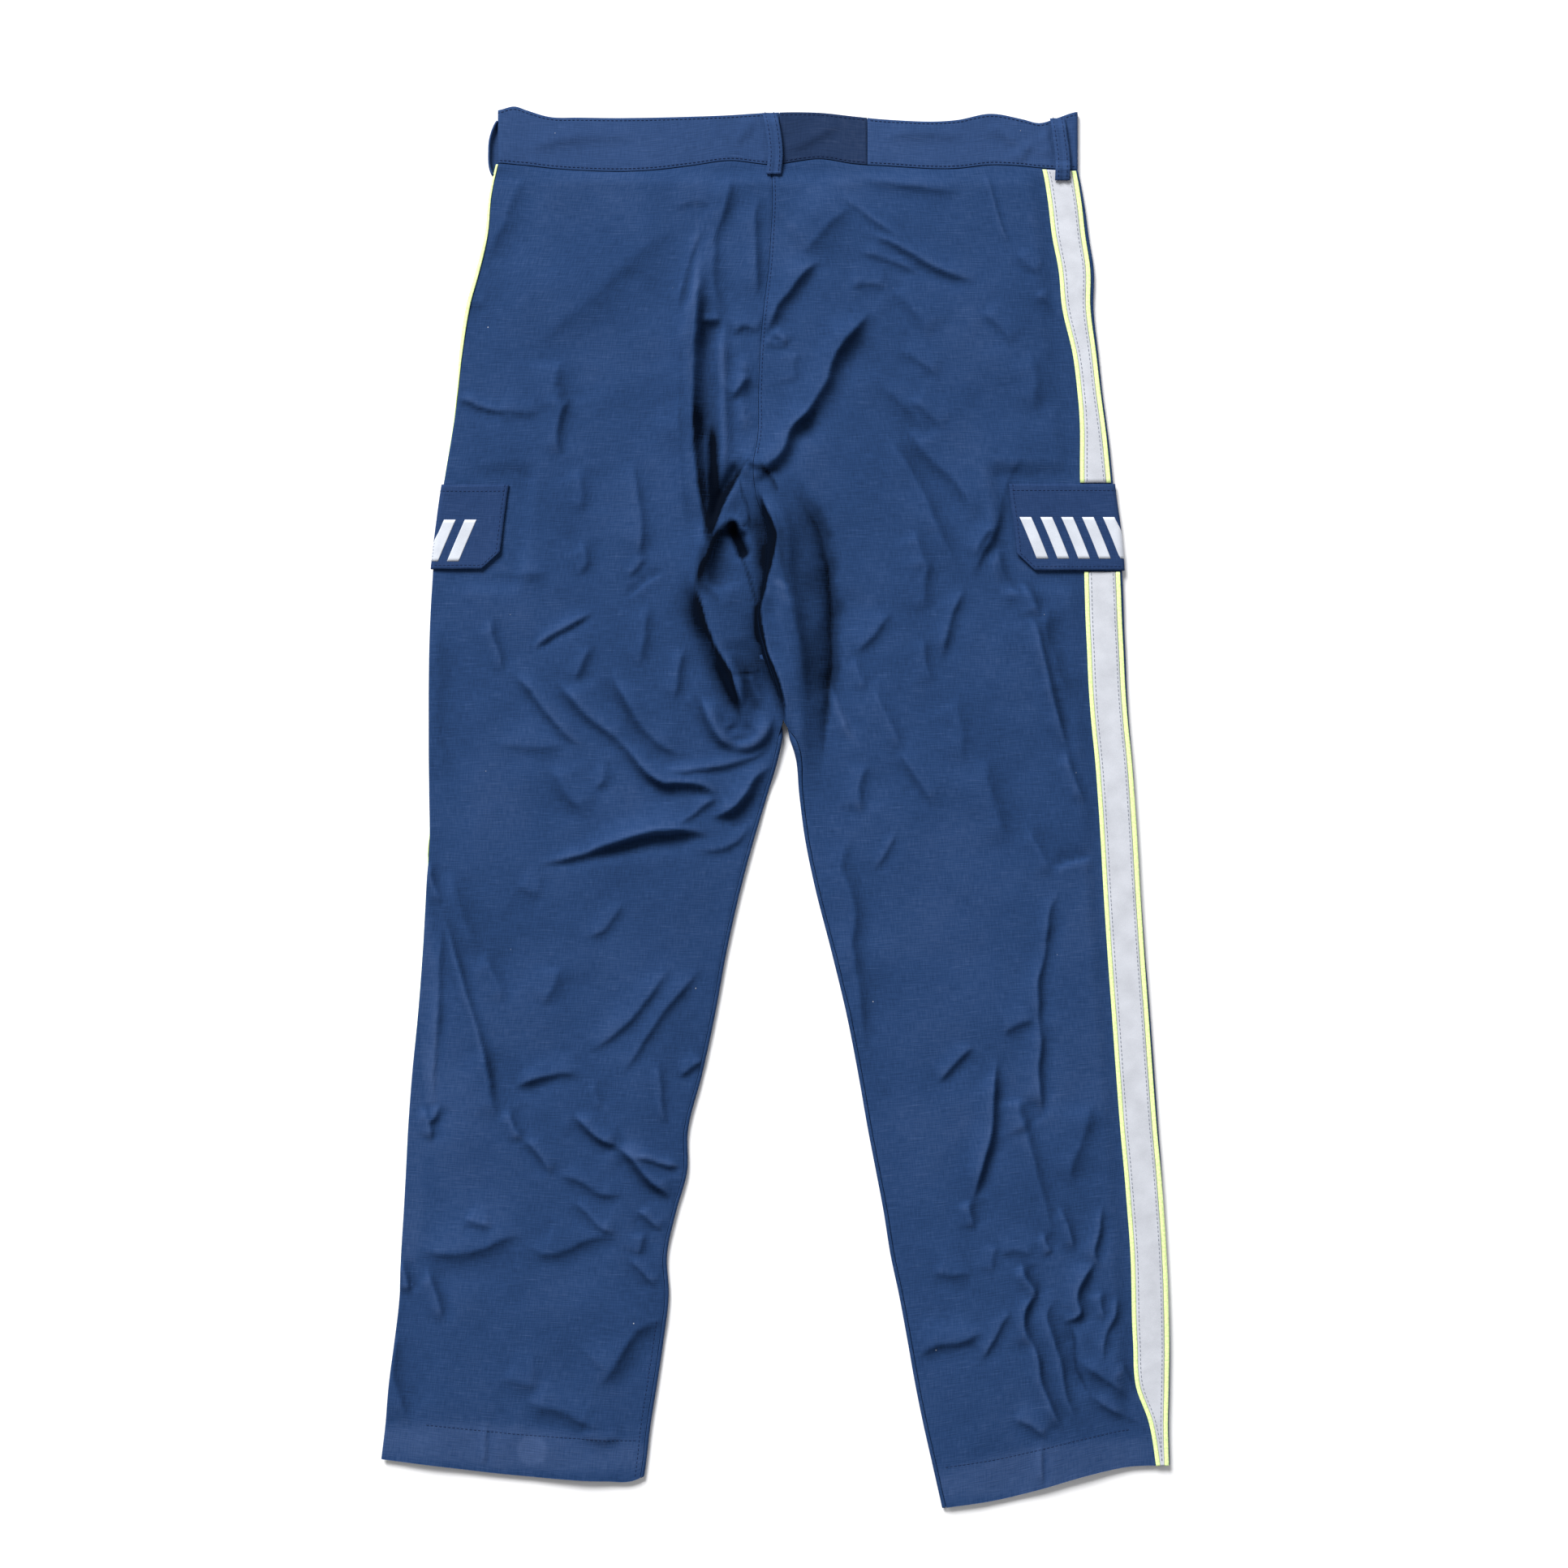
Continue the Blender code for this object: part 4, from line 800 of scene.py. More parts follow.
# The relief is drawn once on a grid with one point each millimetre, and read from there
LOW_X, HIGH_X, LOW_Y, HIGH_Y = -330, 330, -570, 560
GRID_X = np.arange(LOW_X, HIGH_X + 1, dtype=float)
GRID_Y = np.arange(LOW_Y, HIGH_Y + 1, dtype=float)
# Straight stretches in a drawn line, and how many reaches of the grid beside it are drawn
LINE_POINTS, LINE_MARGIN = 30, 4.5


def near_line(points, reach):
    """The part of the grid near a line: window, distance, side of the line, place along it."""
    line_x, line_y, _ = smooth_line(points, LINE_POINTS)
    margin = LINE_MARGIN * reach
    i0, i1 = np.searchsorted(GRID_X, [line_x.min() - margin, line_x.max() + margin])
    j0, j1 = np.searchsorted(GRID_Y, [line_y.min() - margin, line_y.max() + margin])
    window = (slice(j0, j1), slice(i0, i1))
    x, y = np.meshgrid(GRID_X[i0:i1], GRID_Y[j0:j1])
    nearest = np.full(x.shape, 1e9)
    across = np.zeros(x.shape)
    place = np.zeros(x.shape)
    last = len(line_x) - 1
    for i in range(last):
        run_x, run_y = line_x[i + 1] - line_x[i], line_y[i + 1] - line_y[i]
        square = run_x * run_x + run_y * run_y
        u = np.clip(((x - line_x[i]) * run_x + (y - line_y[i]) * run_y) / square, 0, 1)
        away_x, away_y = x - line_x[i] - u * run_x, y - line_y[i] - u * run_y
        distance = np.hypot(away_x, away_y)
        closer = distance < nearest
        nearest = np.where(closer, distance, nearest)
        across = np.where(closer, (run_x * away_y - run_y * away_x) / math.sqrt(square), across)
        place = np.where(closer, (i + u) / last, place)
    # across is positive to the left of the line's run
    run_x, run_y = line_x[-1] - line_x[0], line_y[-1] - line_y[0]
    left_is_shade = run_x * SHADE_Y - run_y * SHADE_X > 0
    return window, nearest, across if left_is_shade else -across, place


def faded(place, ends):
    """1 along the middle of a line, running out to 0 over a share of it at both ends."""
    return step(place / ends) * step((1 - place) / ends)


def draw_fold(field, fold):
    """Add a raised or sunk line, round across and faded at both ends."""
    window, distance, _, place = near_line(fold.points, fold.reach)
    across = np.exp(-((distance / fold.reach) ** 2))
    field[window] += fold.height * faded(place, FOLD_ENDS) * across


def waves(table):
    """The sum of some smooth random waves, over the whole grid."""
    return sum(wave.height * soft_noise(wave.seed, wave.spacing) for wave in table)


@functools.cache
def unevenness():
    """How creases waver sideways and swell and thin along their run."""
    return waves(WAVER_WAVES), waves(SWELL_WAVES)


def across_crease(crease):
    """The part of the grid near a crease: window, reaches past its lip, and strength."""
    reach = abs(crease.reach)
    window, distance, across, place = near_line(crease.points, reach)
    across = across if crease.reach > 0 else -across
    waver, swell = unevenness()
    fade = faded(place, CREASE_ENDS) * (1 + SWELL * swell[window])
    reach = reach * (END_REACH + WIDENING * np.minimum(fade, STRONGEST))
    ends = np.exp(-(np.maximum(distance ** 2 - across ** 2, 0) / (reach * ROUND_ENDS) ** 2))
    return window, across / reach - LIP_AT + WAVER * waver[window], fade * ends


def draw_crease(field, crease):
    """Add a drop from a raised side to a sunk side, narrower and lower at both ends."""
    window, t, strength = across_crease(crease)
    crown = CROWN * np.exp(-((t / CROWN_REACH) ** 2))
    drop = (CROWN + TROUGH) * np.exp(-DROP_RATE * np.maximum(t, 0))
    trough = TROUGH * np.exp(-((t / TROUGH_REACH) ** 2))
    field[window] += crease.height * strength * np.where(t < 0, crown, drop - trough)


def draw_shade(field, crease):
    """Paint shade on the side a crease drops to, sharply at its lip and less and less beyond."""
    window, t, strength = across_crease(crease)
    run_x, run_y = np.abs(np.subtract(crease.points[-1], crease.points[0]))
    dark = SHADE * (1 + UPRIGHT_SHADE * step(run_y / (run_x + run_y)))
    edge = np.exp(-((t / SHADE_EDGE) ** 2))
    beyond = np.exp(-SHADE_RATE * np.maximum(t, 0))
    field[window] -= dark * abs(crease.height) * strength * np.where(t < 0, edge, beyond)


def soft_noise(seed, spacing):
    """Smooth random heights from -1 to 1 over the whole grid."""
    rng = np.random.default_rng(seed)
    across, down = int(len(GRID_X) / spacing) + 3, int(len(GRID_Y) / spacing) + 3
    values = rng.uniform(-1, 1, (down, across))
    i, u = np.divmod(np.arange(len(GRID_X)) / spacing, 1)
    j, v = np.divmod(np.arange(len(GRID_Y)) / spacing, 1)
    i, j, u, v = i.astype(int), j.astype(int), step(u), step(v)[:, None]
    upper = values[j][:, i] * (1 - u) + values[j][:, i + 1] * u
    lower = values[j + 1][:, i] * (1 - u) + values[j + 1][:, i + 1] * u
    return upper * (1 - v) + lower * v


def blurred(field, times):
    """The field with small forms smoothed away."""
    for _ in range(times):
        field = (4 * field + np.roll(field, 1, 0) + np.roll(field, -1, 0)
                 + np.roll(field, 1, 1) + np.roll(field, -1, 1)) / 8
    return field


@functools.cache
def relief():
    """Height over the surface of the upper layer of cloth, on the grid."""
    x, y = np.meshgrid(GRID_X, GRID_Y)
    rise = np.zeros(x.shape)
    for mound in MOUNDS:
        away = ((x - mound.x) / mound.reach_x) ** 2 + ((y - mound.y) / mound.reach_y) ** 2
        rise += mound.height * np.exp(-away)
    for fold in FOLDS:
        draw_fold(rise, fold)
    for crease in CREASES:
        draw_crease(rise, crease)
    left_out, left_in = section("left_out", y), section("left_in", y)
    right_in, right_out = section("right_in", y), section("right_out", y)
    outer = np.minimum(x - left_out, right_out - x)
    inner = np.where(x < (left_in + right_in) / 2, left_in - x, x - right_in)
    parted = step((PARTING_Y + PARTING_FROM - y) / PARTING_OVER)
    inside = step(outer / LOFT_REACH) * (1 - parted * (1 - step(inner / LOFT_REACH)))
    hem = step((y - HEM_Y + HEM_LOFT_FROM) / HEM_LOFT_OVER)
    rise += LOFT * inside * (HEM_LOFT + (1 - HEM_LOFT) * hem)
    rise += inside * waves(CLOTH_WAVES)
    seam = step((y - waist_seam(x, True) + SEAM_RISE_FROM) / SEAM_RISE_OVER)
    rise = rise * liveliness(x, y, left_out, right_out) + TOP - TOP_LEAST
    high = TOP_LEAST + np.logaddexp(0, rise / SOFT_LEAST) * SOFT_LEAST + SEAM_RISE * seam
    return TOP_MOST - np.logaddexp(0, (TOP_MOST - high) / SOFT_MOST) * SOFT_MOST


def liveliness(x, y, left_out, right_out):
    """How much of its relief the cloth keeps: little near the waist, the stripe and the flaps."""
    waist = step((WAIST_Y - 2 - y) / WAIST_CALM_OVER)
    stripe = 1 - CALM * step((x - right_out + STRIPE_CALM) / CALM_OVER)
    above, below = (y - FLAP_CALM_LOW_Y) / CALM_OVER, (FLAP_CALM_HIGH_Y - y) / CALM_OVER
    edge = np.minimum(x - left_out + FLAP_FOLD_CALM, right_out - x)
    flap = 1 - CALM * step(above) * step(below) * step((FLAP_CALM - edge) / CALM_OVER)
    return waist * stripe * flap


@functools.cache
def under_relief():
    """How far the lower layer stands off the surface, on the grid."""
    rise = np.zeros((len(GRID_Y), len(GRID_X)))
    for fold in UNDER_FOLDS:
        draw_fold(rise, fold)
    return rise + UNDER_WAVE.height + waves([UNDER_WAVE])


@functools.cache
def band_relief():
    """Small waves of the waistband, on the grid."""
    rise = waves(BAND_WAVES)
    for crease in BAND_CREASES:
        draw_crease(rise, crease)
    return rise


@functools.cache
def wear_and_shade_field():
    """Paler (plus) and darker (minus) places: rubbed ridges with painted highlight, painted shade in
    folds, and marks.
    """
    rise = relief()
    # Ridges paler, as wear and painted highlight, and valleys darker as painted shade
    field = WEAR_AND_SHADE * np.clip((rise - blurred(rise, WEAR_AND_SHADE_BLUR)) / WEAR_AND_SHADE_HEIGHT, -1, 1)
    field += waves(DRIFTS)
    # Painted shade beside the creases and in the hollows, and dark painted lines in the pits
    for crease in CREASES + HOLLOWS:
        draw_shade(field, crease)
    for pit in PITS:
        draw_fold(field, pit)
    x, y = np.meshgrid(GRID_X, GRID_Y)
    for fade in PALER_PLACES:
        turn = math.radians(fade.turn)
        across = ((x - fade.x) * math.cos(turn) + (y - fade.y) * math.sin(turn)) / fade.half_x
        along = ((y - fade.y) * math.cos(turn) - (x - fade.x) * math.sin(turn)) / fade.half_y
        field += fade.amount * step((1 + fade.edge - np.hypot(across, along)) / fade.edge / 2)
    return field


def read(field, x, y):
    """Read a grid field between its points."""
    at_x = np.clip(np.asarray(x, float) - LOW_X, 0, len(GRID_X) - 1.001)
    at_y = np.clip(np.asarray(y, float) - LOW_Y, 0, len(GRID_Y) - 1.001)
    i, j = at_x.astype(int), at_y.astype(int)
    u, v = at_x - i, at_y - j
    low = field[j, i] * (1 - u) + field[j, i + 1] * u
    high = field[j + 1, i] * (1 - u) + field[j + 1, i + 1] * u
    return low * (1 - v) + high * v


def top(x, y):
    """Height of the upper layer over the surface, folds included."""
    return read(relief(), x, y)


def slid(leg, row):
    """Y of the outer and the inner end of a row, which slide towards the hem's own slope."""
    drift = step((HEM_BLEND_Y - row) / (HEM_BLEND_Y - HEM_Y))
    return row + drift * (leg.hem_outer - HEM_Y), row + drift * (leg.hem_inner - HEM_Y)


def leg_width(leg, row):
    """Flat width of the leg on one row, from the outer fold to the inner one."""
    outer_y, inner_y = slid(leg, row)
    return np.hypot(section(leg.inner, inner_y) - section(leg.outer, outer_y), inner_y - outer_y)


def plan(leg, row, away, upper=True):
    """X and Y of a place that lies some way in from the leg's outer fold, on one row."""
    outer_y, inner_y = slid(leg, row)
    outer_x, inner_x = section(leg.outer, outer_y), section(leg.inner, inner_y)
    share = away / np.hypot(inner_x - outer_x, inner_y - outer_y)
    x = outer_x + (inner_x - outer_x) * share
    y = outer_y + (inner_y - outer_y) * share
    waist = waist_seam(x, upper) - WAIST_GAP / 2 - WAIST_Y
    hem = smooth(np.clip(share, 0, 1), column(leg.hem, "share"), column(leg.hem, "drop"))
    near_waist = step((row - WAIST_BLEND_Y) / (WAIST_Y - WAIST_BLEND_Y))
    near_hem = step((HEM_WAVE_Y - row) / (HEM_WAVE_Y - HEM_Y))
    return x, y + near_waist * waist - near_hem * hem


def under(leg, row, around, x, y):
    """Height of the lower layer: lifted where a stripe or flap lies below it, and creased."""
    _, front = stripe_edges(leg, row)
    flap = leg.flap
    over_stripe = step((around - front + PAST_STRIPE) / LIFT_EASE) * step(-front / STRIPE_EASE)
    flap_low = step((row - flap.bottom + BESIDE_FLAP) / ROW_EASE)
    flap_high = step((flap.top + BESIDE_FLAP - row) / ROW_EASE)
    over_flap = step((around - flap.front + PAST_FLAP) / LIFT_EASE) * flap_low * flap_high
    inside = step(-around / CREASED_FROM_FOLD)
    inside *= step((leg_width(leg, row) + around) / CREASED_FROM_INNER)
    return UNDER_LIFT * np.maximum(over_stripe, over_flap) + inside * read(under_relief(), x, y)


def ring(leg, row, around):
    """A point of the leg's cloth. Around is the way round from the outer fold, plus on top."""
    row, around = np.broadcast_arrays(np.asarray(row, float), np.asarray(around, float))
    turn = np.clip(around / EDGE_QUARTER, -1, 1) * math.pi / 2
    past = np.maximum(np.abs(around) - EDGE_QUARTER, 0)
    x, y = plan(leg, row, EDGE_RADIUS * (1 - np.cos(turn)) + past, around >= 0)
    over = plan(leg, row, EDGE_RADIUS + past)
    high = top(*over)
    low = under(leg, row, -np.maximum(np.abs(around), EDGE_QUARTER), *over)
    z = (high + low) / 2 + (high - low) / 2 * np.sin(turn)
    return np.stack([x, y, z], axis=-1)


def around_at(away):
    """The way round the cloth to a place some way in from the outer fold."""
    return away - EDGE_RADIUS + EDGE_QUARTER


def leg_rows(count=FRONT_ROWS):
    """Rows down the leg, with a few close ones at the waist seam and at the hem."""
    middle = np.linspace(WAIST_Y - 3, HEM_Y + 3, count - 2 * len(EDGE_ROWS))
    return np.concatenate([WAIST_Y - EDGE_ROWS, middle, HEM_Y + EDGE_ROWS[::-1]])


def seam_dip(distance, depth=0.7, reach=1.2):
    """How far cloth turns down towards a seam some way off."""
    return depth * np.exp(-((np.abs(distance) / reach) ** 1.5))


def inner_turn(leg, row):
    """How far the legs have parted, and the half width of the leg's inner fold."""
    parted = step((PARTING_Y + TURN_OVER / 2 - row) / TURN_OVER)
    high = top(*plan(leg, row, leg_width(leg, row) - CURL_START))
    return parted, np.clip(TURN_SHARE * high, TURN_LEAST, TURN_MOST)


def back_panel(leg):
    """Grid of a back panel, from the side seam over the top to the centre seam or inseam."""
    rows = leg_rows(BACK_ROWS)
    parted, turn = inner_turn(leg, rows)
    back, front = stripe_edges(leg, rows)
    low = (back + front) / 2 + SEAM_GAP / 2
    gap = SEAM_GAP + parted * (INSEAM_GAP - SEAM_GAP)
    high = around_at(leg_width(leg, rows) - parted * (turn + CURL_OVER) - gap / 2)
    around = []
    for first, last in zip(low, high):
        middle = spread(first + NEXT_COLUMN, last - NEXT_TO_EDGE, BACK_COLUMNS - 5, 0, EDGE_QUARTER, 2.5)
        around.append(np.concatenate([[first], middle, last - EDGE_COLUMNS[::-1]]))
    around = np.array(around)
    row = rows[:, None] + np.zeros(around.shape)
    points = ring(leg, row, around)
    points[..., 2] -= seam_dip(high[:, None] - around, 0.5) + seam_dip(WAIST_Y - row, 0.35)
    return points, around, row


def front_panel(leg):
    """Grid of a front panel, from the side seam under the leg, then up round its inner fold."""
    rows = leg_rows()
    parted, turn = inner_turn(leg, rows)
    width = leg_width(leg, rows)
    back, front = stripe_edges(leg, rows)
    low = (back + front) / 2 - SEAM_GAP / 2
    flat_end = width - turn - CURL_START
    around = []
    for first, last in zip(low, -around_at(flat_end)):
        middle = spread(first - NEXT_COLUMN, last, FRONT_COLUMNS - 1, 0, EDGE_QUARTER, 5)
        around.append(np.concatenate([[first], middle]))
    around = np.array(around)
    flat = ring(leg, rows[:, None], around)
    curl = np.linspace(0, 1, CURL_COLUMNS + 1)[1:]
    row = rows[:, None] + np.zeros((len(rows), CURL_COLUMNS))
    turn, width, parted, flat_end = (a[:, None] for a in (turn, width, parted, flat_end))
    curl_around = -around_at(flat_end + curl * (turn + CURL_START - SEAM_GAP / 2))
    level = ring(leg, row, curl_around)
    angle = np.clip((curl - CURL_FLAT) / (1 - 2 * CURL_FLAT), 0, 1) * math.pi - math.pi / 2
    away = width - turn + turn * np.cos(angle)
    away = np.where(curl == 1, width - turn - CURL_OVER + SEAM_GAP / 2, away)
    x, y = plan(leg, row, away)
    high = top(*plan(leg, row, width - turn - CURL_OVER)) - CURL_BELOW
    round_up = np.stack([x, y, high * (1 + np.sin(angle)) / 2], axis=-1)
    points = np.concatenate([flat, level + parted[..., None] * (round_up - level)], axis=1)
    around = np.concatenate([around, curl_around], axis=1)
    return points, around, rows[:, None] + np.zeros(around.shape)


def strip(leg, first, last, edges, columns):
    """Grid on the leg below a lengthwise strip; edges gives its two sides on each row."""
    rows = leg_rows()
    rows = rows[(rows < first - STRIP_END) & (rows > last + STRIP_END)]
    rows = np.concatenate([[first], rows, [last]])
    sides = zip(*edges(*stripe_edges(leg, rows)))
    around = np.array([spread(low, high, columns, 0, EDGE_QUARTER, 2) for low, high in sides])
    row = rows[:, None] + np.zeros(around.shape)
    return ring(leg, row, around), around, row


def tape_edges(back, front):
    """Sides of the tape, between its two pipings."""
    border = PIPING_WIDTH + SEAM_GAP
    return front + border, back - border


def back_piping_edges(back, front):
    """Sides of the piping behind the tape."""
    return back - PIPING_WIDTH, back


def front_piping_edges(back, front):
    """Sides of the piping in front of the tape."""
    return front, front + PIPING_WIDTH


def flap_bottom(flap, around):
    """Y of the flap's lower edge, with its two corners cut off."""
    to_corner = np.minimum(around - flap.front, flap.back - around)
    return flap.bottom + np.clip(flap.corner - to_corner, 0, flap.corner)


def flap_stand(flap, share, around):
    """How far a flap stands off the leg, at a share of the way down from its top edge."""
    flare = FLAP_FLARE * share ** 2 * step((around - FLARE_FROM) / FLARE_OVER)
    return FLAP_LIE + flare + FLAP_SPRING * step((around - flap.back + SPRING_OVER) / SPRING_OVER)


def flap_grid(leg):
    """Grid on the leg below a pocket flap, and how far each point stands off the leg."""
    flap = leg.flap
    around = spread(flap.front, flap.back, FLAP_COLUMNS, 0, EDGE_QUARTER, 4)
    share = np.linspace(0, 1, FLAP_ROWS)[:, None]
    row = flap.top + (flap_bottom(flap, around) - flap.top) * share
    around = around + np.zeros(row.shape)
    return ring(leg, row, around), around, row, flap_stand(flap, share, around)


def band_edge(side):
    """X of the waistband's fold on one side."""
    return BAND_LEFT_X if side < 0 else BAND_RIGHT_X


def band_point(side, up, around):
    """A point of the waistband. Around runs from its side fold, plus on the upper layer."""
    up, around = np.broadcast_arrays(np.asarray(up, float), np.asarray(around, float))
    turn = np.clip(around / BAND_QUARTER, -1, 1) * math.pi / 2
    away = BAND_RADIUS * (1 - np.cos(turn)) + np.maximum(np.abs(around) - BAND_QUARTER, 0)
    x = band_edge(side) - side * away
    seam = waist_seam(x, around >= 0) + WAIST_GAP / 2
    y = seam + (smooth(x, column(WAIST, "x"), column(WAIST, "top")) - seam) * up
    low = BAND_LIFT * step((around + BAND_LIFT_FROM) / BAND_LIFT_OVER) * (side < 0)
    high = BAND_TOP + read(band_relief(), x, y) * step(around / BAND_WAVES_OVER)
    return np.stack([x, y, (high + low) / 2 + (high - low) / 2 * np.sin(turn)], axis=-1)


def band_around(side, x, layer):
    """The way round the waistband to an X on its upper or its lower layer."""
    return layer * (side * (band_edge(side) - x) - BAND_RADIUS + BAND_QUARTER)


def band_piece(side, low, high, columns):
    """Grid of a waistband piece between two places round it."""
    around = spread(low, high, columns, 0, BAND_QUARTER, 6)
    middle = np.linspace(BAND_MIDDLE, 1 - BAND_MIDDLE, BAND_ROWS)
    up = np.concatenate([BAND_EDGE, middle, 1 - BAND_EDGE[::-1]])[:, None]
    points = band_point(side, up, around)
    tall = points[-1, :, 1] - points[0, :, 1]
    from_edge = np.minimum(up, 1 - up) * tall
    points[..., 2] -= seam_dip(from_edge, 0.25, 1.4) * np.where(around > 0, 1, 0)
    return points, around + np.zeros(points.shape[:2]), up * tall


def top_surface(x, y):
    """Height of what a belt loop lies on: the waistband, or the panel with its stripe."""
    seam = waist_seam(x, True)
    striped = (x > section("right_out", y) - STRIPE_REACH) & (y < seam)
    surface = np.where(y > seam - NEAR_BAND, BAND_TOP + OVER_BAND, top(x, y))
    return surface + np.where(striped, OVER_STRIPE, 0)


def loop_grid(line):
    """Grid of an upright belt loop: both ends sewn down, the middle standing off."""
    x, y, at = smooth_line(line, LOOP_ROWS)
    rise = LOOP_RISE * step(at / LOOP_RISE_OVER) * step((at[-1] - at) / LOOP_RISE_OVER)
    ground = np.max([top_surface(x, y + near) for near in (-LOOP_CLEAR, 0, LOOP_CLEAR)], axis=0)
    offset = np.linspace(-LOOP_WIDTH / 2, LOOP_WIDTH / 2, LOOP_COLUMNS)[:, None]
    roll = LOOP_ROLL * np.cos(offset / LOOP_WIDTH * 4 * math.pi)
    points = np.stack([x + offset, y + 0 * offset, ground + LOOP_LIE + rise - roll], axis=-1)
    return points, offset + 0 * x, at + 0 * offset


def side_loop_grid():
    """Grid of the belt loop at the left fold, which bows out past the edge."""
    around = np.linspace(SIDE_LOOP_FROM, SIDE_LOOP_TO, SIDE_LOOP_COLUMNS)
    share = np.linspace(0, 1, SIDE_LOOP_ROWS)[:, None]
    points = band_point(-1, SIDE_LOOP_START - share, around)
    bow = SIDE_LOOP_BULGE * np.sin(math.pi * share) ** SIDE_LOOP_FULL
    foot = SIDE_LOOP_FOOT * step((share - 0.5) / 0.5)
    points[..., 0] -= (bow + foot) * step((around - SIDE_LOOP_BOW_FROM) / SIDE_LOOP_BOW_OVER)
    return points, around + 0 * share, share * SIDE_LOOP_LENGTH + 0 * around


def bar_grids(leg):
    """Grids of the slanted silver bars round a flap."""
    grids = []
    for start in np.arange(leg.bars.first, leg.bars.last, BAR_PITCH):
        up = np.linspace(0, 1, BAR_ROWS)[:, None]
        around = start + BAR_SLANT * up + np.linspace(0, BAR_WIDTH, BAR_COLUMNS)
        row = leg.bars.bottom + (leg.bars.top - leg.bars.bottom) * up + 0 * around
        share = (leg.flap.top - row) / (leg.flap.top - leg.flap.bottom)
        grids.append((ring(leg, row, around), around, row, flap_stand(leg.flap, share, around)))
    return grids


def normals_of(points):
    """Outward direction at each point of a grid, and whether its faces point that way unturned."""
    normal = np.cross(np.gradient(points, axis=1), np.gradient(points, axis=0))
    normal /= np.linalg.norm(normal, axis=-1, keepdims=True) + 1e-9
    # outwards is up on what lies above the middle of the cloth, and down below it
    kept = (normal[..., 2] * (points[..., 2] - TOP / 2)).sum() > 0
    return normal if kept else -normal, kept


def grid_faces(index, kept):
    """Four-sided faces over a grid of point numbers, turned round if they would face inwards."""
    quads = [index[:-1, :-1], index[:-1, 1:], index[1:, 1:], index[1:, :-1]]
    return np.stack(quads if kept else quads[::-1], axis=-1).reshape(-1, 4).tolist()


def inner_side(points, around, wall):
    """The inner side of a panel: fewer points, and below every dip of the outer side near them."""
    normal, _ = normals_of(points)
    inner = points - normal * wall
    lowest = points[..., 2].copy()
    for axis in (0, 1):
        for _ in range(COARSER):
            ahead, behind = np.roll(lowest, 1, axis), np.roll(lowest, -1, axis)
            lowest = np.minimum(lowest, np.minimum(ahead, behind))
    to_end = around.max(axis=1, keepdims=True) - around
    past_fold = step((around - EDGE_QUARTER - INNER_FROM_FOLD) / INNER_OVER)
    upper = past_fold * step((to_end - INNER_FROM_SEAM) / INNER_OVER)
    inner[..., 2] += upper * np.minimum(lowest - wall - inner[..., 2], 0)
    lifted = np.maximum(inner[..., 2], INNER_LEAST)
    inner[..., 2] = np.where(around > EDGE_QUARTER, lifted, inner[..., 2])
    return inner[::COARSER, ::COARSER]


def panel_cloth(name, grid, finish, wall):
    """Make a back panel with a fine outer side, a coarse inner side and a closed rim."""
    points, around, row = grid
    inner = inner_side(points, around, wall / MM)
    _, kept = normals_of(points)
    outer_index = np.arange(around.size).reshape(around.shape)
    inner_index = np.arange(inner[..., 0].size).reshape(inner.shape[:2]) + around.size
    faces = grid_faces(outer_index, kept) + grid_faces(inner_index, not kept)
    sides = [(outer_index[0], inner_index[0], True),
             (outer_index[-1], inner_index[-1], False),
             (outer_index[:, 0], inner_index[:, 0], False),
             (outer_index[:, -1], inner_index[:, -1], True)]
    for fine, coarse, turned in sides:
        for i in range(len(coarse) - 1):
            face = [*fine[i * COARSER:(i + 1) * COARSER + 1], coarse[i + 1], coarse[i]]
            faces.append([int(v) for v in (face[::-1] if turned != kept else face)])
    flat = np.stack([around, row], axis=-1)
    flat = np.concatenate([flat.reshape(-1, 2), flat[::COARSER, ::COARSER].reshape(-1, 2)])
    places = np.concatenate([points.reshape(-1, 3), inner.reshape(-1, 3)])
    # Painted shade and highlight with the paler wear, only on the outer side
    shade = read(wear_and_shade_field(), places[:, 0], places[:, 1]) * (places[:, 2] > SHADE_LEAST_Z)
    shade[around.size:] = 0
    return finished(name, places * MM, faces, flat * MM, shade, finish)


def linked(name, data):
    """A new object in the scene."""
    made = bpy.data.objects.new(name, data)
    bpy.context.scene.collection.objects.link(made)
    return made


def finished(name, places, faces, flat, shade, finish):
    """A smooth mesh piece with its flat cut as UV map, its paler places and painted shade, and its
    finish.
    """
    mesh = bpy.data.meshes.new(name)
    mesh.from_pydata(places.tolist(), [], faces)
    mesh.shade_smooth()
    corners = np.empty(len(mesh.loops), dtype=np.int32)
    mesh.loops.foreach_get("vertex_index", corners)
    weave = mesh.uv_layers.new(name="weave")
    weave.data.foreach_set("uv", flat[corners].astype(np.float32).ravel())
    # The fade attribute holds the painted shade and highlight along with the paler wear and marks
    fade = mesh.attributes.new("fade", "FLOAT", "POINT")
    fade.data.foreach_set("value", shade.astype(np.float32))
    mesh.materials.append(finish)
    return linked(name, mesh)


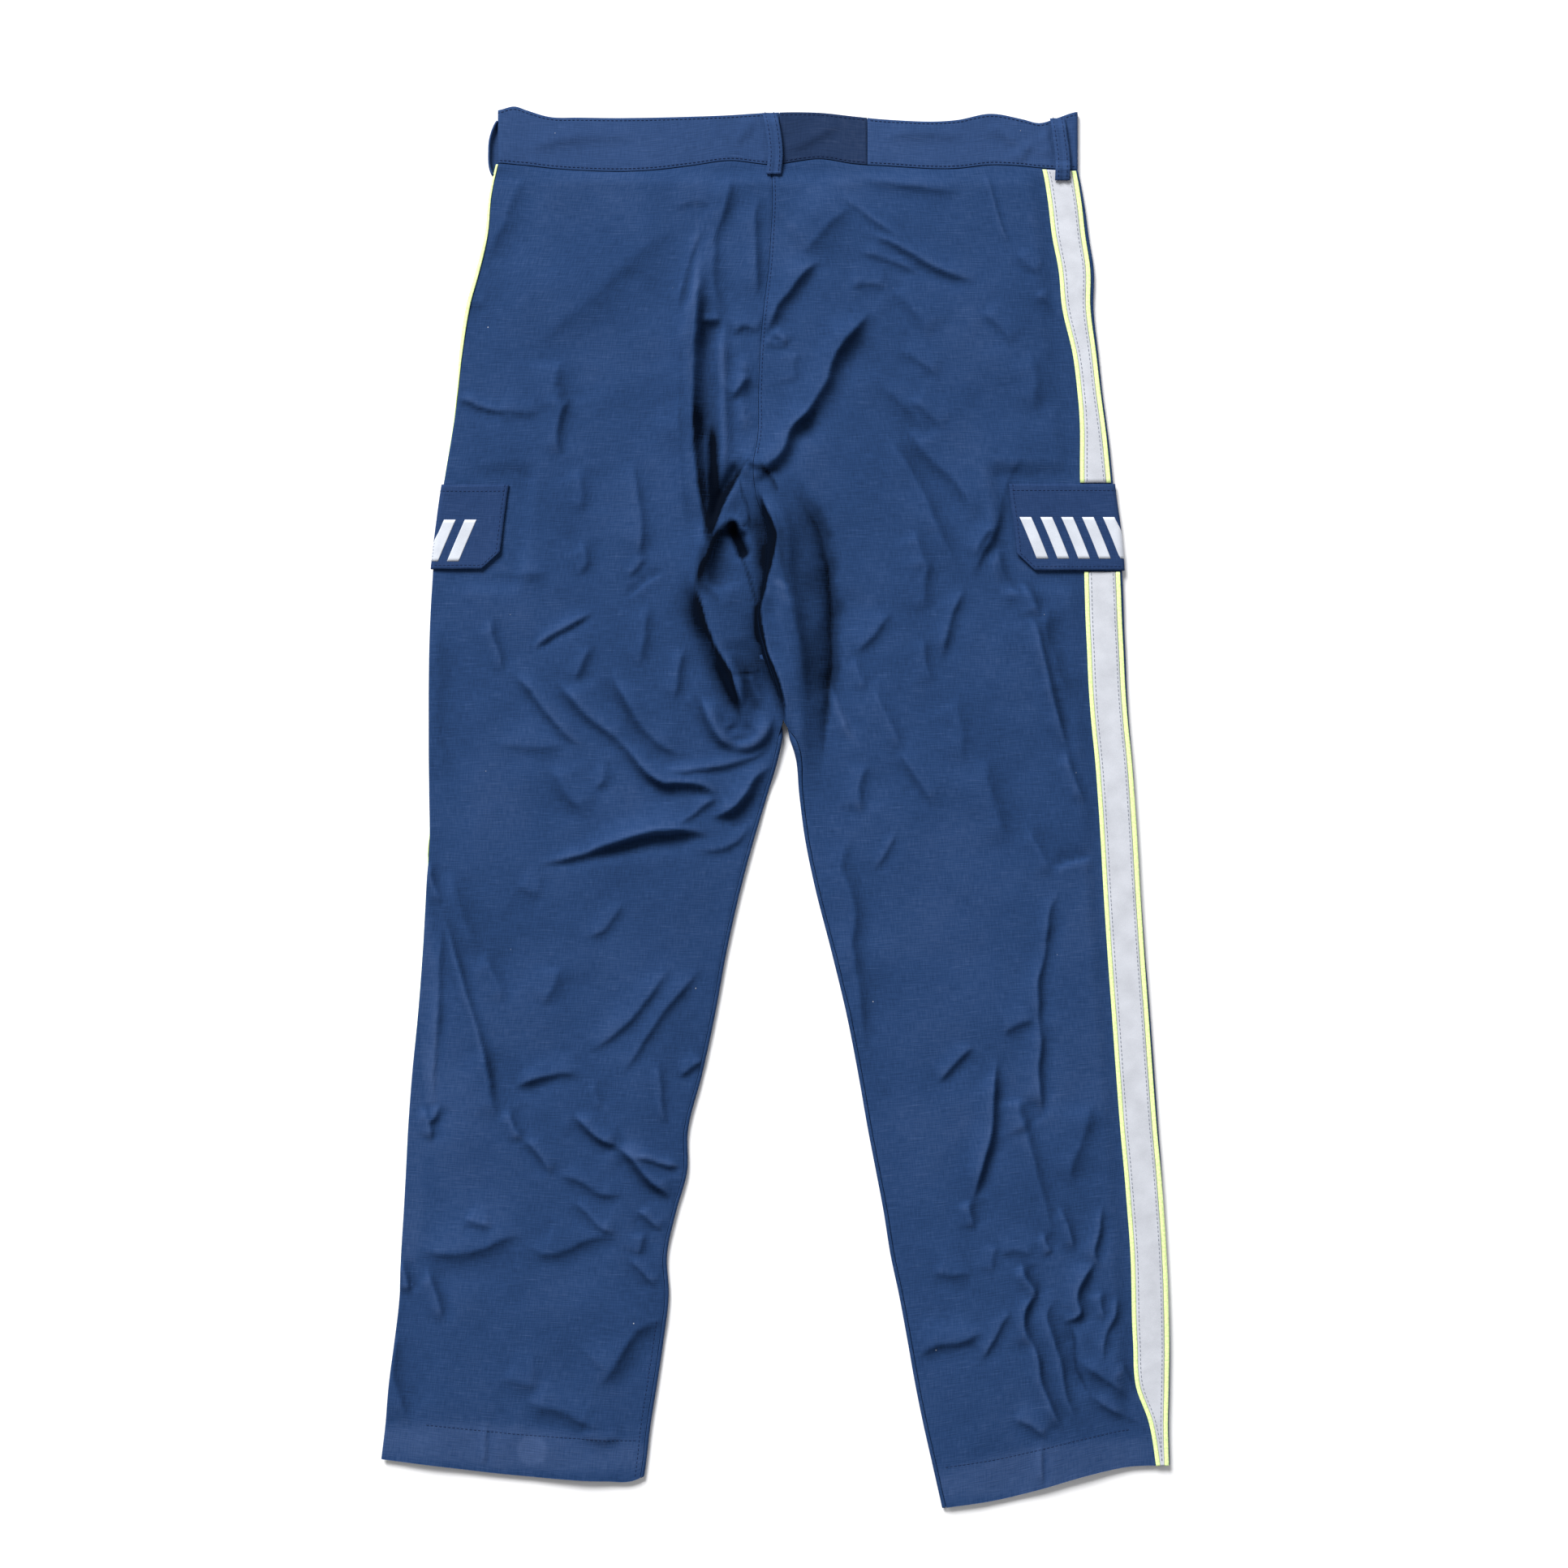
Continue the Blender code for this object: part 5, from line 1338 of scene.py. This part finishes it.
def cloth(name, grids, finish, wall, lift=0.0):
    """Make one piece from grids of points, lifted off what it lies on, then given its wall.

    Each grid is its points in millimetres, two flat coordinates for the weave and, if it
    stands off unevenly, how far. A panel's wall goes inwards and a trim's goes outwards.
    """
    places, faces, flat = [], [], []
    count = 0
    for points, u, v, *off in grids:
        normal, kept = normals_of(points)
        away = off[0][..., None] if off else 0.0
        places.append((points + normal * (lift + away)).reshape(-1, 3) * MM)
        faces += grid_faces(np.arange(u.size).reshape(u.shape) + count, kept)
        flat.append(np.stack([u, v], axis=-1).reshape(-1, 2) * MM)
        count += u.size
    piece = finished(name, np.concatenate(places), faces, np.concatenate(flat), np.zeros(count),
                     finish)
    solid = piece.modifiers.new("Cloth wall", "SOLIDIFY")
    solid.thickness = wall
    solid.offset = 1.0 if lift else -1.0
    return piece


def place(piece, node, slot, grid=None, rests_on=(), with_pieces=()):
    """Let a piece ride and stand for its node. Its slot and its grid are not used."""
    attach(piece, BODY)
    if node:
        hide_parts(node)


def fill(tree, node, inputs):
    """Fill or link the inputs of a node. Of a node given there, the first output is linked."""
    for socket, value in inputs.items():
        if isinstance(value, bpy.types.Node):
            value = value.outputs[0]
        if isinstance(value, bpy.types.NodeSocket):
            tree.links.new(value, node.inputs[socket])
        else:
            node.inputs[socket].default_value = value


def add(tree, kind, inputs=None, **settings):
    """Add a node, set its properties, and fill or link its inputs."""
    node = tree.nodes.new(kind)
    for name, value in settings.items():
        setattr(node, name, value)
    fill(tree, node, inputs or {})
    return node


# A pattern's scale has this many millimetres over the size of one cell of it
METRE = 1000
# Inputs of a Map Range node, in the order in which its values are given
SPAN = ("Value", "From Min", "From Max", "To Min", "To Max")


def new_material(name):
    """An empty material, its node tree and its one shader."""
    made = bpy.data.materials.new(name)
    made.use_nodes = True
    return made, made.node_tree, made.node_tree.nodes["Principled BSDF"]


def streaks(tree, coordinates, across_mm, along_mm, turned):
    """Noise drawn out along the threads that run one way."""
    scale = [METRE / across_mm, METRE / along_mm, 1]
    if turned:
        scale[0], scale[1] = scale[1], scale[0]
    mapped = add(tree, "ShaderNodeMapping", {"Vector": coordinates, "Scale": scale})
    return add(tree, "ShaderNodeTexNoise", {"Vector": mapped, "Scale": 1.0, "Detail": 1.0,
                                            "Roughness": 0.5})


def set_stops(ramp, stops):
    """Give a colour ramp its stops, each a position and a colour."""
    elements = ramp.color_ramp.elements
    for element, (position, shade) in zip(elements, (stops[0], stops[-1])):
        element.position, element.color = position, shade
    for position, shade in stops[1:-1]:
        elements.new(position).color = shade


def tinted(base, share):
    """A colour made paler by a share above 1, or darker by one below."""
    return tuple(min(1.0, part * share) for part in base[:3]) + (1.0,)


def wear_and_highlight(base):
    """The palest colour of the cloth, for rubbed wear and for painted highlight: a little greyer than
    the cloth.
    """
    return tuple(1.45 * part + 0.03 for part in base[:3]) + (1.0,)


def woven(name, base, thread_mm=0.75, contrast=1.0):
    """Plain-weave polyester and cotton: matt, with uneven threads both ways, thicker slubs,
    a little lint, ridges rubbed paler with a painted highlight, and painted shade in the folds.
    The threads are about 0.5 mm in the real cloth, and are drawn half as coarse again so that
    they show."""
    blotch_mm, lint_mm, wrinkle_mm = 91, 23.8, 14.3
    made, tree, shader = new_material(name)
    at = add(tree, "ShaderNodeUVMap", uv_map="weave")
    on_object = add(tree, "ShaderNodeTexCoord").outputs["Object"]
    warp = streaks(tree, at, thread_mm, 9, False)
    weft = streaks(tree, at, thread_mm, 12, True)
    slub = streaks(tree, at, thread_mm * 1.6, 22, True)
    threads = add(tree, "ShaderNodeMath", {0: warp, 1: weft})
    blotch = add(tree, "ShaderNodeTexNoise",
                 {"Vector": on_object, "Scale": METRE / blotch_mm, "Detail": 3.0})

    # The tone: threads, slubs and blotches on top of the piece's own rubbed-pale places and painted
    # shade
    tone = add(tree, "ShaderNodeAttribute", attribute_name="fade").outputs["Fac"]
    for span in [(threads, 0.6, 1.4, -0.25 * contrast, 0.25 * contrast),
                 (slub, 0.62, 0.78, 0, 0.26 * contrast),
                 (blotch, 0.3, 0.7, -0.08, 0.08)]:
        part = add(tree, "ShaderNodeMapRange", dict(zip(SPAN, span)))
        tone = add(tree, "ShaderNodeMath", {0: tone, 1: part})
    tone = add(tree, "ShaderNodeMapRange", dict(zip(SPAN, (tone, -1.3, 0.9, 0, 1))))
    ramp = add(tree, "ShaderNodeValToRGB", {"Fac": tone})
    # The darkest stops are painted shade in folds and hollows, the palest rubbed wear and painted
    # highlight
    set_stops(ramp, [(0, tinted(base, 0.06)), (0.386, tinted(base, 0.6)),
                     (0.591, tinted(base, 1.0)), (1, wear_and_highlight(base))])

    # Lint: a pale speck in the middle of about half of the cells
    cells = add(tree, "ShaderNodeTexVoronoi", {"Vector": at, "Scale": METRE / lint_mm})
    chance = add(tree, "ShaderNodeSeparateColor", {"Color": cells.outputs["Color"]})
    speck = add(tree, "ShaderNodeMapRange", dict(zip(SPAN, (cells, 0.012, 0.026, 1, 0))))
    seen = add(tree, "ShaderNodeMapRange", dict(zip(SPAN, (chance, 0.55, 0.6, 0, 0.7))))
    lint = add(tree, "ShaderNodeMath", {0: speck, 1: seen}, operation="MULTIPLY")
    mixed = add(tree, "ShaderNodeMix", {"Factor": lint, 6: ramp, 7: linear("#c4c6cc")},
                data_type="RGBA")

    rough = add(tree, "ShaderNodeMapRange", dict(zip(SPAN, (threads, 0.6, 1.4, 0.76, 0.9))))
    wrinkle = add(tree, "ShaderNodeTexNoise",
                  {"Vector": at, "Scale": METRE / wrinkle_mm, "Detail": 3.0})
    height = add(tree, "ShaderNodeMath", {0: wrinkle, 1: 1.2, 2: threads},
                 operation="MULTIPLY_ADD")
    bump = add(tree, "ShaderNodeBump", {"Height": height, "Strength": 0.45, "Distance": 0.5 * MM})
    fill(tree, shader, {"Base Color": mixed.outputs[2], "Roughness": rough, "Normal": bump,
                        "Specular IOR Level": 0.03, "Sheen Weight": 0.08,
                        "Sheen Roughness": 0.5, "Sheen Tint": tinted(base, 4)})
    return made


def reflective(name, base):
    """Glass-bead reflective tape: pale grey, satin, with tiny beads, faint rubbed marks and
    soft wrinkles. The beads are far under a millimetre and are drawn at 0.8 mm to show."""
    bead_mm, mark_mm, wrinkle_mm = 0.8, 18.2, 11.1
    made, tree, shader = new_material(name)
    at = add(tree, "ShaderNodeUVMap", uv_map="weave")
    beads, marks, wrinkles = [
        add(tree, "ShaderNodeTexNoise", {"Vector": at, "Scale": METRE / size, "Detail": detail})
        for size, detail in ((bead_mm, 1.0), (mark_mm, 4.0), (wrinkle_mm, 2.0))]
    grain = add(tree, "ShaderNodeMapRange", dict(zip(SPAN, (beads, 0.3, 0.7, -0.1, 0.1))))
    rubbed = add(tree, "ShaderNodeMapRange", dict(zip(SPAN, (marks, 0.35, 0.7, 0.75, 0.35))))
    tone = add(tree, "ShaderNodeMath", {0: grain, 1: rubbed})
    ramp = add(tree, "ShaderNodeValToRGB", {"Fac": tone})
    set_stops(ramp, [(0, tinted(base, 0.72)), (1, tinted(base, 1.12))])
    height = add(tree, "ShaderNodeMath", {0: beads, 1: 0.15, 2: wrinkles},
                 operation="MULTIPLY_ADD")
    bump = add(tree, "ShaderNodeBump", {"Height": height, "Strength": 0.35, "Distance": 0.6 * MM})
    fill(tree, shader, {"Base Color": ramp, "Normal": bump, "Roughness": 0.5,
                        "Specular IOR Level": 0.4})
    return made


def neon(name, base):
    """Fluorescent piping: a woven cord cover, with a painted glow that stands in for its fluorescence in
    daylight.
    """
    rib_mm = 1.67
    made, tree, shader = new_material(name)
    at = add(tree, "ShaderNodeUVMap", uv_map="weave")
    ribs = add(tree, "ShaderNodeTexNoise", {"Vector": at, "Scale": METRE / rib_mm, "Detail": 1.0})
    ramp = add(tree, "ShaderNodeValToRGB", {"Fac": ribs})
    set_stops(ramp, [(0.25, tinted(base, 0.7)), (0.75, tinted(base, 1.15))])
    bump = add(tree, "ShaderNodeBump", {"Height": ribs, "Strength": 0.3, "Distance": 0.3 * MM})
    # The emission is a painted glow
    fill(tree, shader, {"Base Color": ramp, "Normal": bump, "Roughness": 0.6,
                        "Emission Color": base, "Emission Strength": 0.12})
    return made


def thread(name, base):
    """Polyester sewing thread: slightly shiny, with a twist that shows as small ribs."""
    twist_mm = 0.56
    made, tree, shader = new_material(name)
    at = add(tree, "ShaderNodeTexCoord").outputs["Object"]
    twist = add(tree, "ShaderNodeTexNoise",
                {"Vector": at, "Scale": METRE / twist_mm, "Detail": 0.0})
    ramp = add(tree, "ShaderNodeValToRGB", {"Fac": twist})
    set_stops(ramp, [(0, tinted(base, 0.7)), (1, tinted(base, 1.35))])
    fill(tree, shader, {"Base Color": ramp, "Roughness": 0.5, "Specular IOR Level": 0.1,
                        "Sheen Weight": 0.1, "Sheen Tint": tinted(base, 3)})
    return made


def paper(name, base):
    """Seamless background paper: matt and all but white, with a very faint cloudiness."""
    cloud_mm = 500
    made, tree, shader = new_material(name)
    at = add(tree, "ShaderNodeTexCoord").outputs["Object"]
    clouds = add(tree, "ShaderNodeTexNoise",
                 {"Vector": at, "Scale": METRE / cloud_mm, "Detail": 2.0})
    ramp = add(tree, "ShaderNodeValToRGB", {"Fac": clouds})
    set_stops(ramp, [(0, tinted(base, 0.98)), (1, base)])
    fill(tree, shader, {"Base Color": ramp, "Roughness": 0.9})
    return made


@functools.cache
def look(name):
    """The finish of that name in its colour of the same name, made once."""
    make, title, settings = {
        "navy": (woven, "navy_plain_weave", {}),
        "flap": (woven, "navy_flap_weave", {"contrast": 0.8}),
        "band": (woven, "navy_waistband_weave", {"contrast": 0.8}),
        "insert": (woven, "dark_stretch_insert", {"thread_mm": 1.4, "contrast": 0.6}),
        "tape": (reflective, "glass_bead_tape", {}),
        "bars": (reflective, "silver_heat_pressed_film", {}),
        "piping": (neon, "neon_piping_cover", {}),
        "navy_thread": (thread, "navy_polyester_thread", {}),
        "tape_thread": (thread, "grey_polyester_thread", {}),
        "floor": (paper, "seamless_paper", {}),
    }[name]
    return make(title, tuple(getattr(bpy.context.scene.trouser_colours, name)), **settings)


@functools.cache
def stitch_tree():
    """Geometry nodes that set a small thread bead on every stitch of some lines."""
    tree = bpy.data.node_groups.new("Stitches", "GeometryNodeTree")
    sockets = {"Geometry": "NodeSocketGeometry", "Stitch": "NodeSocketFloat",
               "Gap": "NodeSocketFloat", "Thread": "NodeSocketFloat",
               "Material": "NodeSocketMaterial"}
    for name, kind in sockets.items():
        tree.interface.new_socket(name=name, in_out="INPUT", socket_type=kind)
    tree.interface.new_socket(name="Geometry", in_out="OUTPUT",
                              socket_type="NodeSocketGeometry")
    given = add(tree, "NodeGroupInput").outputs
    pitch = add(tree, "ShaderNodeMath", {0: given["Stitch"], 1: given["Gap"]})
    line = add(tree, "GeometryNodeMeshToCurve", {"Mesh": given["Geometry"]})
    places = add(tree, "GeometryNodeResampleCurve", {"Curve": line, "Length": pitch},
                 mode="LENGTH")
    bead = add(tree, "GeometryNodeMeshUVSphere", {"Segments": 6, "Rings": 4, "Radius": 0.5})
    tangent = add(tree, "GeometryNodeInputTangent")
    turned = add(tree, "FunctionNodeAlignRotationToVector", {"Vector": tangent}, axis="Z")
    size = add(tree, "ShaderNodeCombineXYZ", {"X": given["Thread"], "Y": given["Thread"],
                                              "Z": given["Stitch"]})
    beads = add(tree, "GeometryNodeInstanceOnPoints", {
        "Points": places, "Instance": bead, "Rotation": turned, "Scale": size})
    real = add(tree, "GeometryNodeRealizeInstances", {"Geometry": beads})
    rounded = add(tree, "GeometryNodeSetShadeSmooth", {"Geometry": real})
    threads = add(tree, "GeometryNodeSetMaterial", {"Geometry": rounded,
                                                    "Material": given["Material"]})
    add(tree, "NodeGroupOutput", {"Geometry": threads})
    return tree


def sew(name, lines, finish):
    """Set stitches along lines of points in millimetres, as one plain mesh."""
    sizes = bpy.context.scene.trouser_sizes
    points, edges = [], []
    for line in lines:
        start = len(points)
        points += (np.asarray(line) * MM).tolist()
        edges += [(i, i + 1) for i in range(start, len(points) - 1)]
    mesh = bpy.data.meshes.new(name)
    mesh.from_pydata(points, edges, [])
    piece = linked(name, mesh)
    modifier = piece.modifiers.new("Stitches", "NODES")
    modifier.node_group = stitch_tree()
    values = {"Stitch": sizes.stitch, "Gap": sizes.stitch_gap, "Thread": sizes.thread,
              "Material": look(finish)}
    for item in modifier.node_group.interface.items_tree:
        if item.in_out == "INPUT" and item.name in values:
            modifier[item.identifier] = values[item.name]
    view = bpy.context.evaluated_depsgraph_get()
    piece.data = bpy.data.meshes.new_from_object(piece.evaluated_get(view))
    piece.data.name = name
    piece.modifiers.clear()
    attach(piece, BODY)
    return piece


def on_leg(leg, row, around, lift):
    """Points that stand some way off the leg's cloth, outwards."""
    row, around = np.broadcast_arrays(np.asarray(row, float), np.asarray(around, float))
    here = ring(leg, row, around)
    sideways = ring(leg, row, around + 0.7) - ring(leg, row, around - 0.7)
    along = ring(leg, row + 0.7, around) - ring(leg, row - 0.7, around)
    outward = np.cross(sideways, along) * -leg.side
    outward /= np.linalg.norm(outward, axis=-1, keepdims=True)
    return here + outward * np.asarray(lift)[..., None]


def stripe_stitches(leg, first, last):
    """The two stitch lines of a tape, just inside its pipings."""
    inset, lift = 1.9, 1.0
    rows = np.arange(first - 2, last + 2, -4.0)
    low, high = tape_edges(*stripe_edges(leg, rows))
    return [on_leg(leg, rows, low + inset, lift), on_leg(leg, rows, high - inset, lift)]


def flap_face(leg, row, around):
    """How far the flap's outer face stands off the leg."""
    flap = leg.flap
    share = (flap.top - row) / (flap.top - flap_bottom(flap, around))
    return flap_stand(flap, share, around) + bpy.context.scene.trouser_sizes.flap_wall / MM


def flap_stitches(leg):
    """The stitch lines of a flap: along its free edges, and across below its top edge."""
    flap, inset, below_top = leg.flap, 3.0, 5
    across = np.arange(flap.front + inset, flap.back - inset + 0.1, 1.5)
    down = np.arange(flap.top - 1, flap.bottom + flap.corner + 1, -2.0)
    lines = []
    for row, around in [(flap_bottom(flap, across) + inset, across),
                        (down, 0 * down + flap.back - inset),
                        (down, 0 * down + flap.front + inset),
                        (0 * across + flap.top - below_top, across)]:
        lines.append(on_leg(leg, row, around, flap_face(leg, row, around) + THREAD_LIFT))
    return lines


class TROUSERS_OT_panels(bpy.types.Operator):
    """Make the two back panels and the two front panels"""

    bl_idname = "trousers.panels"
    bl_label = "Panels"

    def execute(self, context):
        wall = context.scene.trouser_sizes.cloth_wall
        for leg in (LEFT, RIGHT):
            lower = front_panel(leg)
            front = cloth(f"front_panel_{leg.name}", [lower], look("navy"), wall)
            place(front, f"front_{leg.name}", "navy_cloth", lower, ["floor"])
            upper = back_panel(leg)
            back = panel_cloth(f"back_panel_{leg.name}", upper, look("navy"), wall)
            place(back, f"back_{leg.name}", "navy_cloth", upper, [front.name])
        return {"FINISHED"}


class TROUSERS_OT_stripes(bpy.types.Operator):
    """Make the side stripes: reflective tape between two neon pipings, with its stitches"""

    bl_idname = "trousers.stripes"
    bl_label = "Side stripes"

    def execute(self, context):
        sizes = context.scene.trouser_sizes
        for leg in (LEFT, RIGHT):
            ends = {"upper": (WAIST_Y - 1.0, leg.flap.top + 1.0),
                    "lower": (leg.flap.bottom - 1.0, HEM_Y)}
            for part, (first, last) in ends.items():
                label = f"{leg.name}_{part}"
                pipings = []
                for side, edges in {"back": back_piping_edges, "front": front_piping_edges}.items():
                    grid = strip(leg, first, last, edges, PIPING_COLUMNS)
                    round_at = np.linspace(PIPING_FOOT, 1 - PIPING_FOOT, PIPING_COLUMNS) * math.pi
                    crown = PIPING_CROWN * np.sin(round_at) + 0 * grid[1]
                    piping = cloth(f"neon_{label}_{side}", [(*grid, crown)], look("piping"),
                                   sizes.piping_wall, PIPING_LIFT)
                    place(piping, f"piping_{label}_{side}", "neon_piping")
                    pipings.append(piping)
                seam = sew(f"stitches_{label}", stripe_stitches(leg, first, last), "tape_thread")
                grid = strip(leg, first, last, tape_edges, TAPE_COLUMNS)
                tape = cloth(f"tape_{label}", [grid], look("tape"), sizes.tape_wall, TAPE_LIFT)
                place(tape, f"stripe_{label}", "reflective_tape", grid,
                      [f"back_panel_{leg.name}", f"front_panel_{leg.name}"], [*pipings, seam])
        return {"FINISHED"}


class TROUSERS_OT_flaps(bpy.types.Operator):
    """Make the pocket flaps, their stitches and the silver bars on them"""

    bl_idname = "trousers.flaps"
    bl_label = "Pocket flaps"

    def execute(self, context):
        wall = context.scene.trouser_sizes.flap_wall
        for leg in (LEFT, RIGHT):
            grid = flap_grid(leg)
            flap = cloth(f"pocket_flap_{leg.name}", [grid], look("flap"), wall, CLOSE)
            film = cloth(f"silver_bars_{leg.name}", bar_grids(leg), look("bars"), BAR_WALL * MM,
                         wall / MM + BAR_CLEARANCE)
            place(film, None, "reflective_tape")
            seam = sew(f"flap_stitches_{leg.name}", flap_stitches(leg), "navy_thread")
            place(flap, f"flap_{leg.name}", "navy_cloth", grid,
                  [f"back_panel_{leg.name}", f"front_panel_{leg.name}"], [film, seam])
        return {"FINISHED"}


class TROUSERS_OT_waistband(bpy.types.Operator):
    """Make the waistband, its dark insert and its stitches"""

    bl_idname = "trousers.waistband"
    bl_label = "Waistband"

    def execute(self, context):
        wall = context.scene.trouser_sizes.band_wall
        gap = SEAM_GAP / 2
        # name: finish, slot, the side it is measured from, X and layer of its two ends, and what
        # it lies on
        pieces = {
            "left": ("band", "navy_cloth", -1, (FLY_X - gap, -1), (INSERT_LEFT_X - gap, 1), "floor"),
            "insert": ("insert", "dark_insert", -1, (INSERT_LEFT_X + gap, 1),
                       (INSERT_RIGHT_X - gap, 1), "waistband_piece_right"),
            "right": ("band", "navy_cloth", 1, (FLY_X + gap, -1), (INSERT_RIGHT_X + gap, 1), "floor"),
        }
        for name, (finish, slot, side, start, end, lies_on) in pieces.items():
            grid = band_piece(side, band_around(side, *start), band_around(side, *end),
                              BAND_COLUMNS[name])
            around = np.arange(grid[1].min() + 2, grid[1].max() - 2, 2.0)
            lines = []
            for up in BAND_STITCHES:
                points = band_point(side, up, around)
                points[:, 2] += np.where(around > 0, BAND_THREAD_LIFT, -BAND_THREAD_LIFT)
                lines.append(points)
            piece = cloth(f"waistband_piece_{name}", [grid], look(finish), wall)
            seam = sew(f"waistband_stitches_{name}", lines, "navy_thread")
            place(piece, f"waistband_{name}", slot, grid, [lies_on], [seam])
        return {"FINISHED"}


class TROUSERS_OT_loops(bpy.types.Operator):
    """Make the three belt loops and their stitches"""

    bl_idname = "trousers.loops"
    bl_label = "Belt loops"

    def execute(self, context):
        wall = context.scene.trouser_sizes.loop_wall
        grids = {
            "centre": (loop_grid(CENTRE_LOOP), LOOP_LIFT, ["waistband_piece_left", "back_panel_right"]),
            "right": (loop_grid(RIGHT_LOOP), LOOP_LIFT, ["waistband_piece_right", "tape_right_upper"]),
            "left": (side_loop_grid(), SIDE_LOOP_LIFT, ["waistband_piece_left"]),
        }
        for name, (grid, lift, lies_on) in grids.items():
            piece = cloth(f"loop_{name}", [grid], look("band"), wall, lift)
            seams = []
            if name != "left":
                face = (0, 0, wall / MM + lift + THREAD_LIFT)
                lines = [grid[0][i] + face for i in LOOP_STITCHES]
                seams = [sew(f"loop_stitches_{name}", lines, "navy_thread")]
            place(piece, f"belt_loop_{name}", "navy_cloth", grid, lies_on, seams)
        return {"FINISHED"}


class TROUSERS_OT_seams(bpy.types.Operator):
    """Sew the hems, the inseam, the centre seam and the fly"""

    bl_idname = "trousers.seams"
    bl_label = "Seam stitches"

    def execute(self, context):
        hem, lines = HEM_Y + HEM_DEPTH, []
        for leg in (LEFT, RIGHT):
            across = np.arange(HEM_FROM_FOLD, leg_width(leg, hem) - HEM_FROM_INNER, 3.0)
            lines += [on_leg(leg, hem, side * across, THREAD_LIFT) for side in (1, -1)]
        centre = np.arange(WAIST_Y - 4, CROTCH_Y + CENTRE_END, -3.0)
        inseam = np.arange(INSEAM_TOP_Y, HEM_Y + 2, -3.0)
        fly = np.arange(WAIST_Y - 6, FLY_FOOT_Y, -3.0)
        fly_turn = np.clip((FLY_CURVE_Y - fly) / FLY_CURVE, 0, 1) * math.pi / 2
        # leg, rows, distance from the leg's inner edge, and layer
        for leg, rows, from_inner, layer in [
                (RIGHT, centre, CENTRE_INSET, 1), (LEFT, inseam, INSEAM_INSET, 1),
                (RIGHT, fly, FLY_INSET + FLY_WIDTH * np.cos(fly_turn), -1)]:
            around = layer * around_at(leg_width(leg, rows) - from_inner)
            lines.append(on_leg(leg, rows, around, THREAD_LIFT))
        sew("seam_stitches", lines, "navy_thread")
        return {"FINISHED"}


class TROUSERS_OT_stage(bpy.types.Operator):
    """Make the floor, the lights, the sky and the camera"""

    bl_idname = "trousers.stage"
    bl_label = "Stage"

    def execute(self, context):
        scene, stage = context.scene, context.scene.trouser_stage
        mesh = bpy.data.meshes.new("floor")
        corners = [(-1, -1), (1, -1), (1, 1), (-1, 1)]
        mesh.from_pydata([(x * FLOOR_REACH, y * FLOOR_REACH, FLOOR_Z) for x, y in corners], [],
                         [(0, 1, 2, 3)])
        mesh.materials.append(look("floor"))
        linked("floor", mesh)
        for name, light in LIGHTS.items():
            data = bpy.data.lights.new(name, "AREA")
            data.energy = getattr(stage, f"{name}_power")
            data.size = light.width
            lamp = linked(name, data)
            lamp.location = light.spot
            lamp.rotation_euler = (-Vector(light.spot)).to_track_quat("-Z", "Y").to_euler()
        world = bpy.data.worlds.new("studio")
        world.use_nodes = True
        background = world.node_tree.nodes["Background"]
        background.inputs["Color"].default_value = scene.trouser_colours.sky
        background.inputs["Strength"].default_value = stage.sky
        scene.world = world
        data = bpy.data.cameras.new("camera")
        data.lens = stage.lens
        data.sensor_width = 36.0
        camera = linked("camera", data)
        camera.location = (stage.camera_x, stage.camera_y, stage.camera_height)
        scene.camera = camera
        scene.view_settings.view_transform = "Standard"
        return {"FINISHED"}


class TROUSERS_PT_panel(bpy.types.Panel):
    """Sidebar panel with the sizes, the colours and a button for each group of pieces"""

    bl_idname = "TROUSERS_PT_panel"
    bl_label = "Uniform Trousers"
    bl_space_type = "VIEW_3D"
    bl_region_type = "UI"
    bl_category = "Trousers"

    def draw(self, context):
        scene = context.scene
        for group in (scene.trouser_sizes, scene.trouser_colours, scene.trouser_stage):
            box = self.layout.box()
            for name in type(group).__annotations__:
                box.prop(group, name)
        for operator in OPERATORS:
            self.layout.operator(operator.bl_idname)


OPERATORS = (TROUSERS_OT_panels, TROUSERS_OT_stripes, TROUSERS_OT_flaps, TROUSERS_OT_waistband,
             TROUSERS_OT_loops, TROUSERS_OT_seams, TROUSERS_OT_stage)
CLASSES = (TrouserSizes, TrouserColours, TrouserStage, *OPERATORS, TROUSERS_PT_panel)


def register():
    """Register the classes and the scene's settings."""
    for kind in CLASSES:
        bpy.utils.register_class(kind)
    bpy.types.Scene.trouser_sizes = PointerProperty(type=TrouserSizes)
    bpy.types.Scene.trouser_colours = PointerProperty(type=TrouserColours)
    bpy.types.Scene.trouser_stage = PointerProperty(type=TrouserStage)


def unregister():
    """Remove the settings and the classes."""
    del bpy.types.Scene.trouser_stage
    del bpy.types.Scene.trouser_colours
    del bpy.types.Scene.trouser_sizes
    for kind in reversed(CLASSES):
        bpy.utils.unregister_class(kind)


def main():
    """Make every piece."""
    register()
    bpy.ops.trousers.panels()
    bpy.ops.trousers.stripes()
    bpy.ops.trousers.flaps()
    bpy.ops.trousers.waistband()
    bpy.ops.trousers.loops()
    bpy.ops.trousers.seams()
    bpy.ops.trousers.stage()


if __name__ == "__main__":
    main()
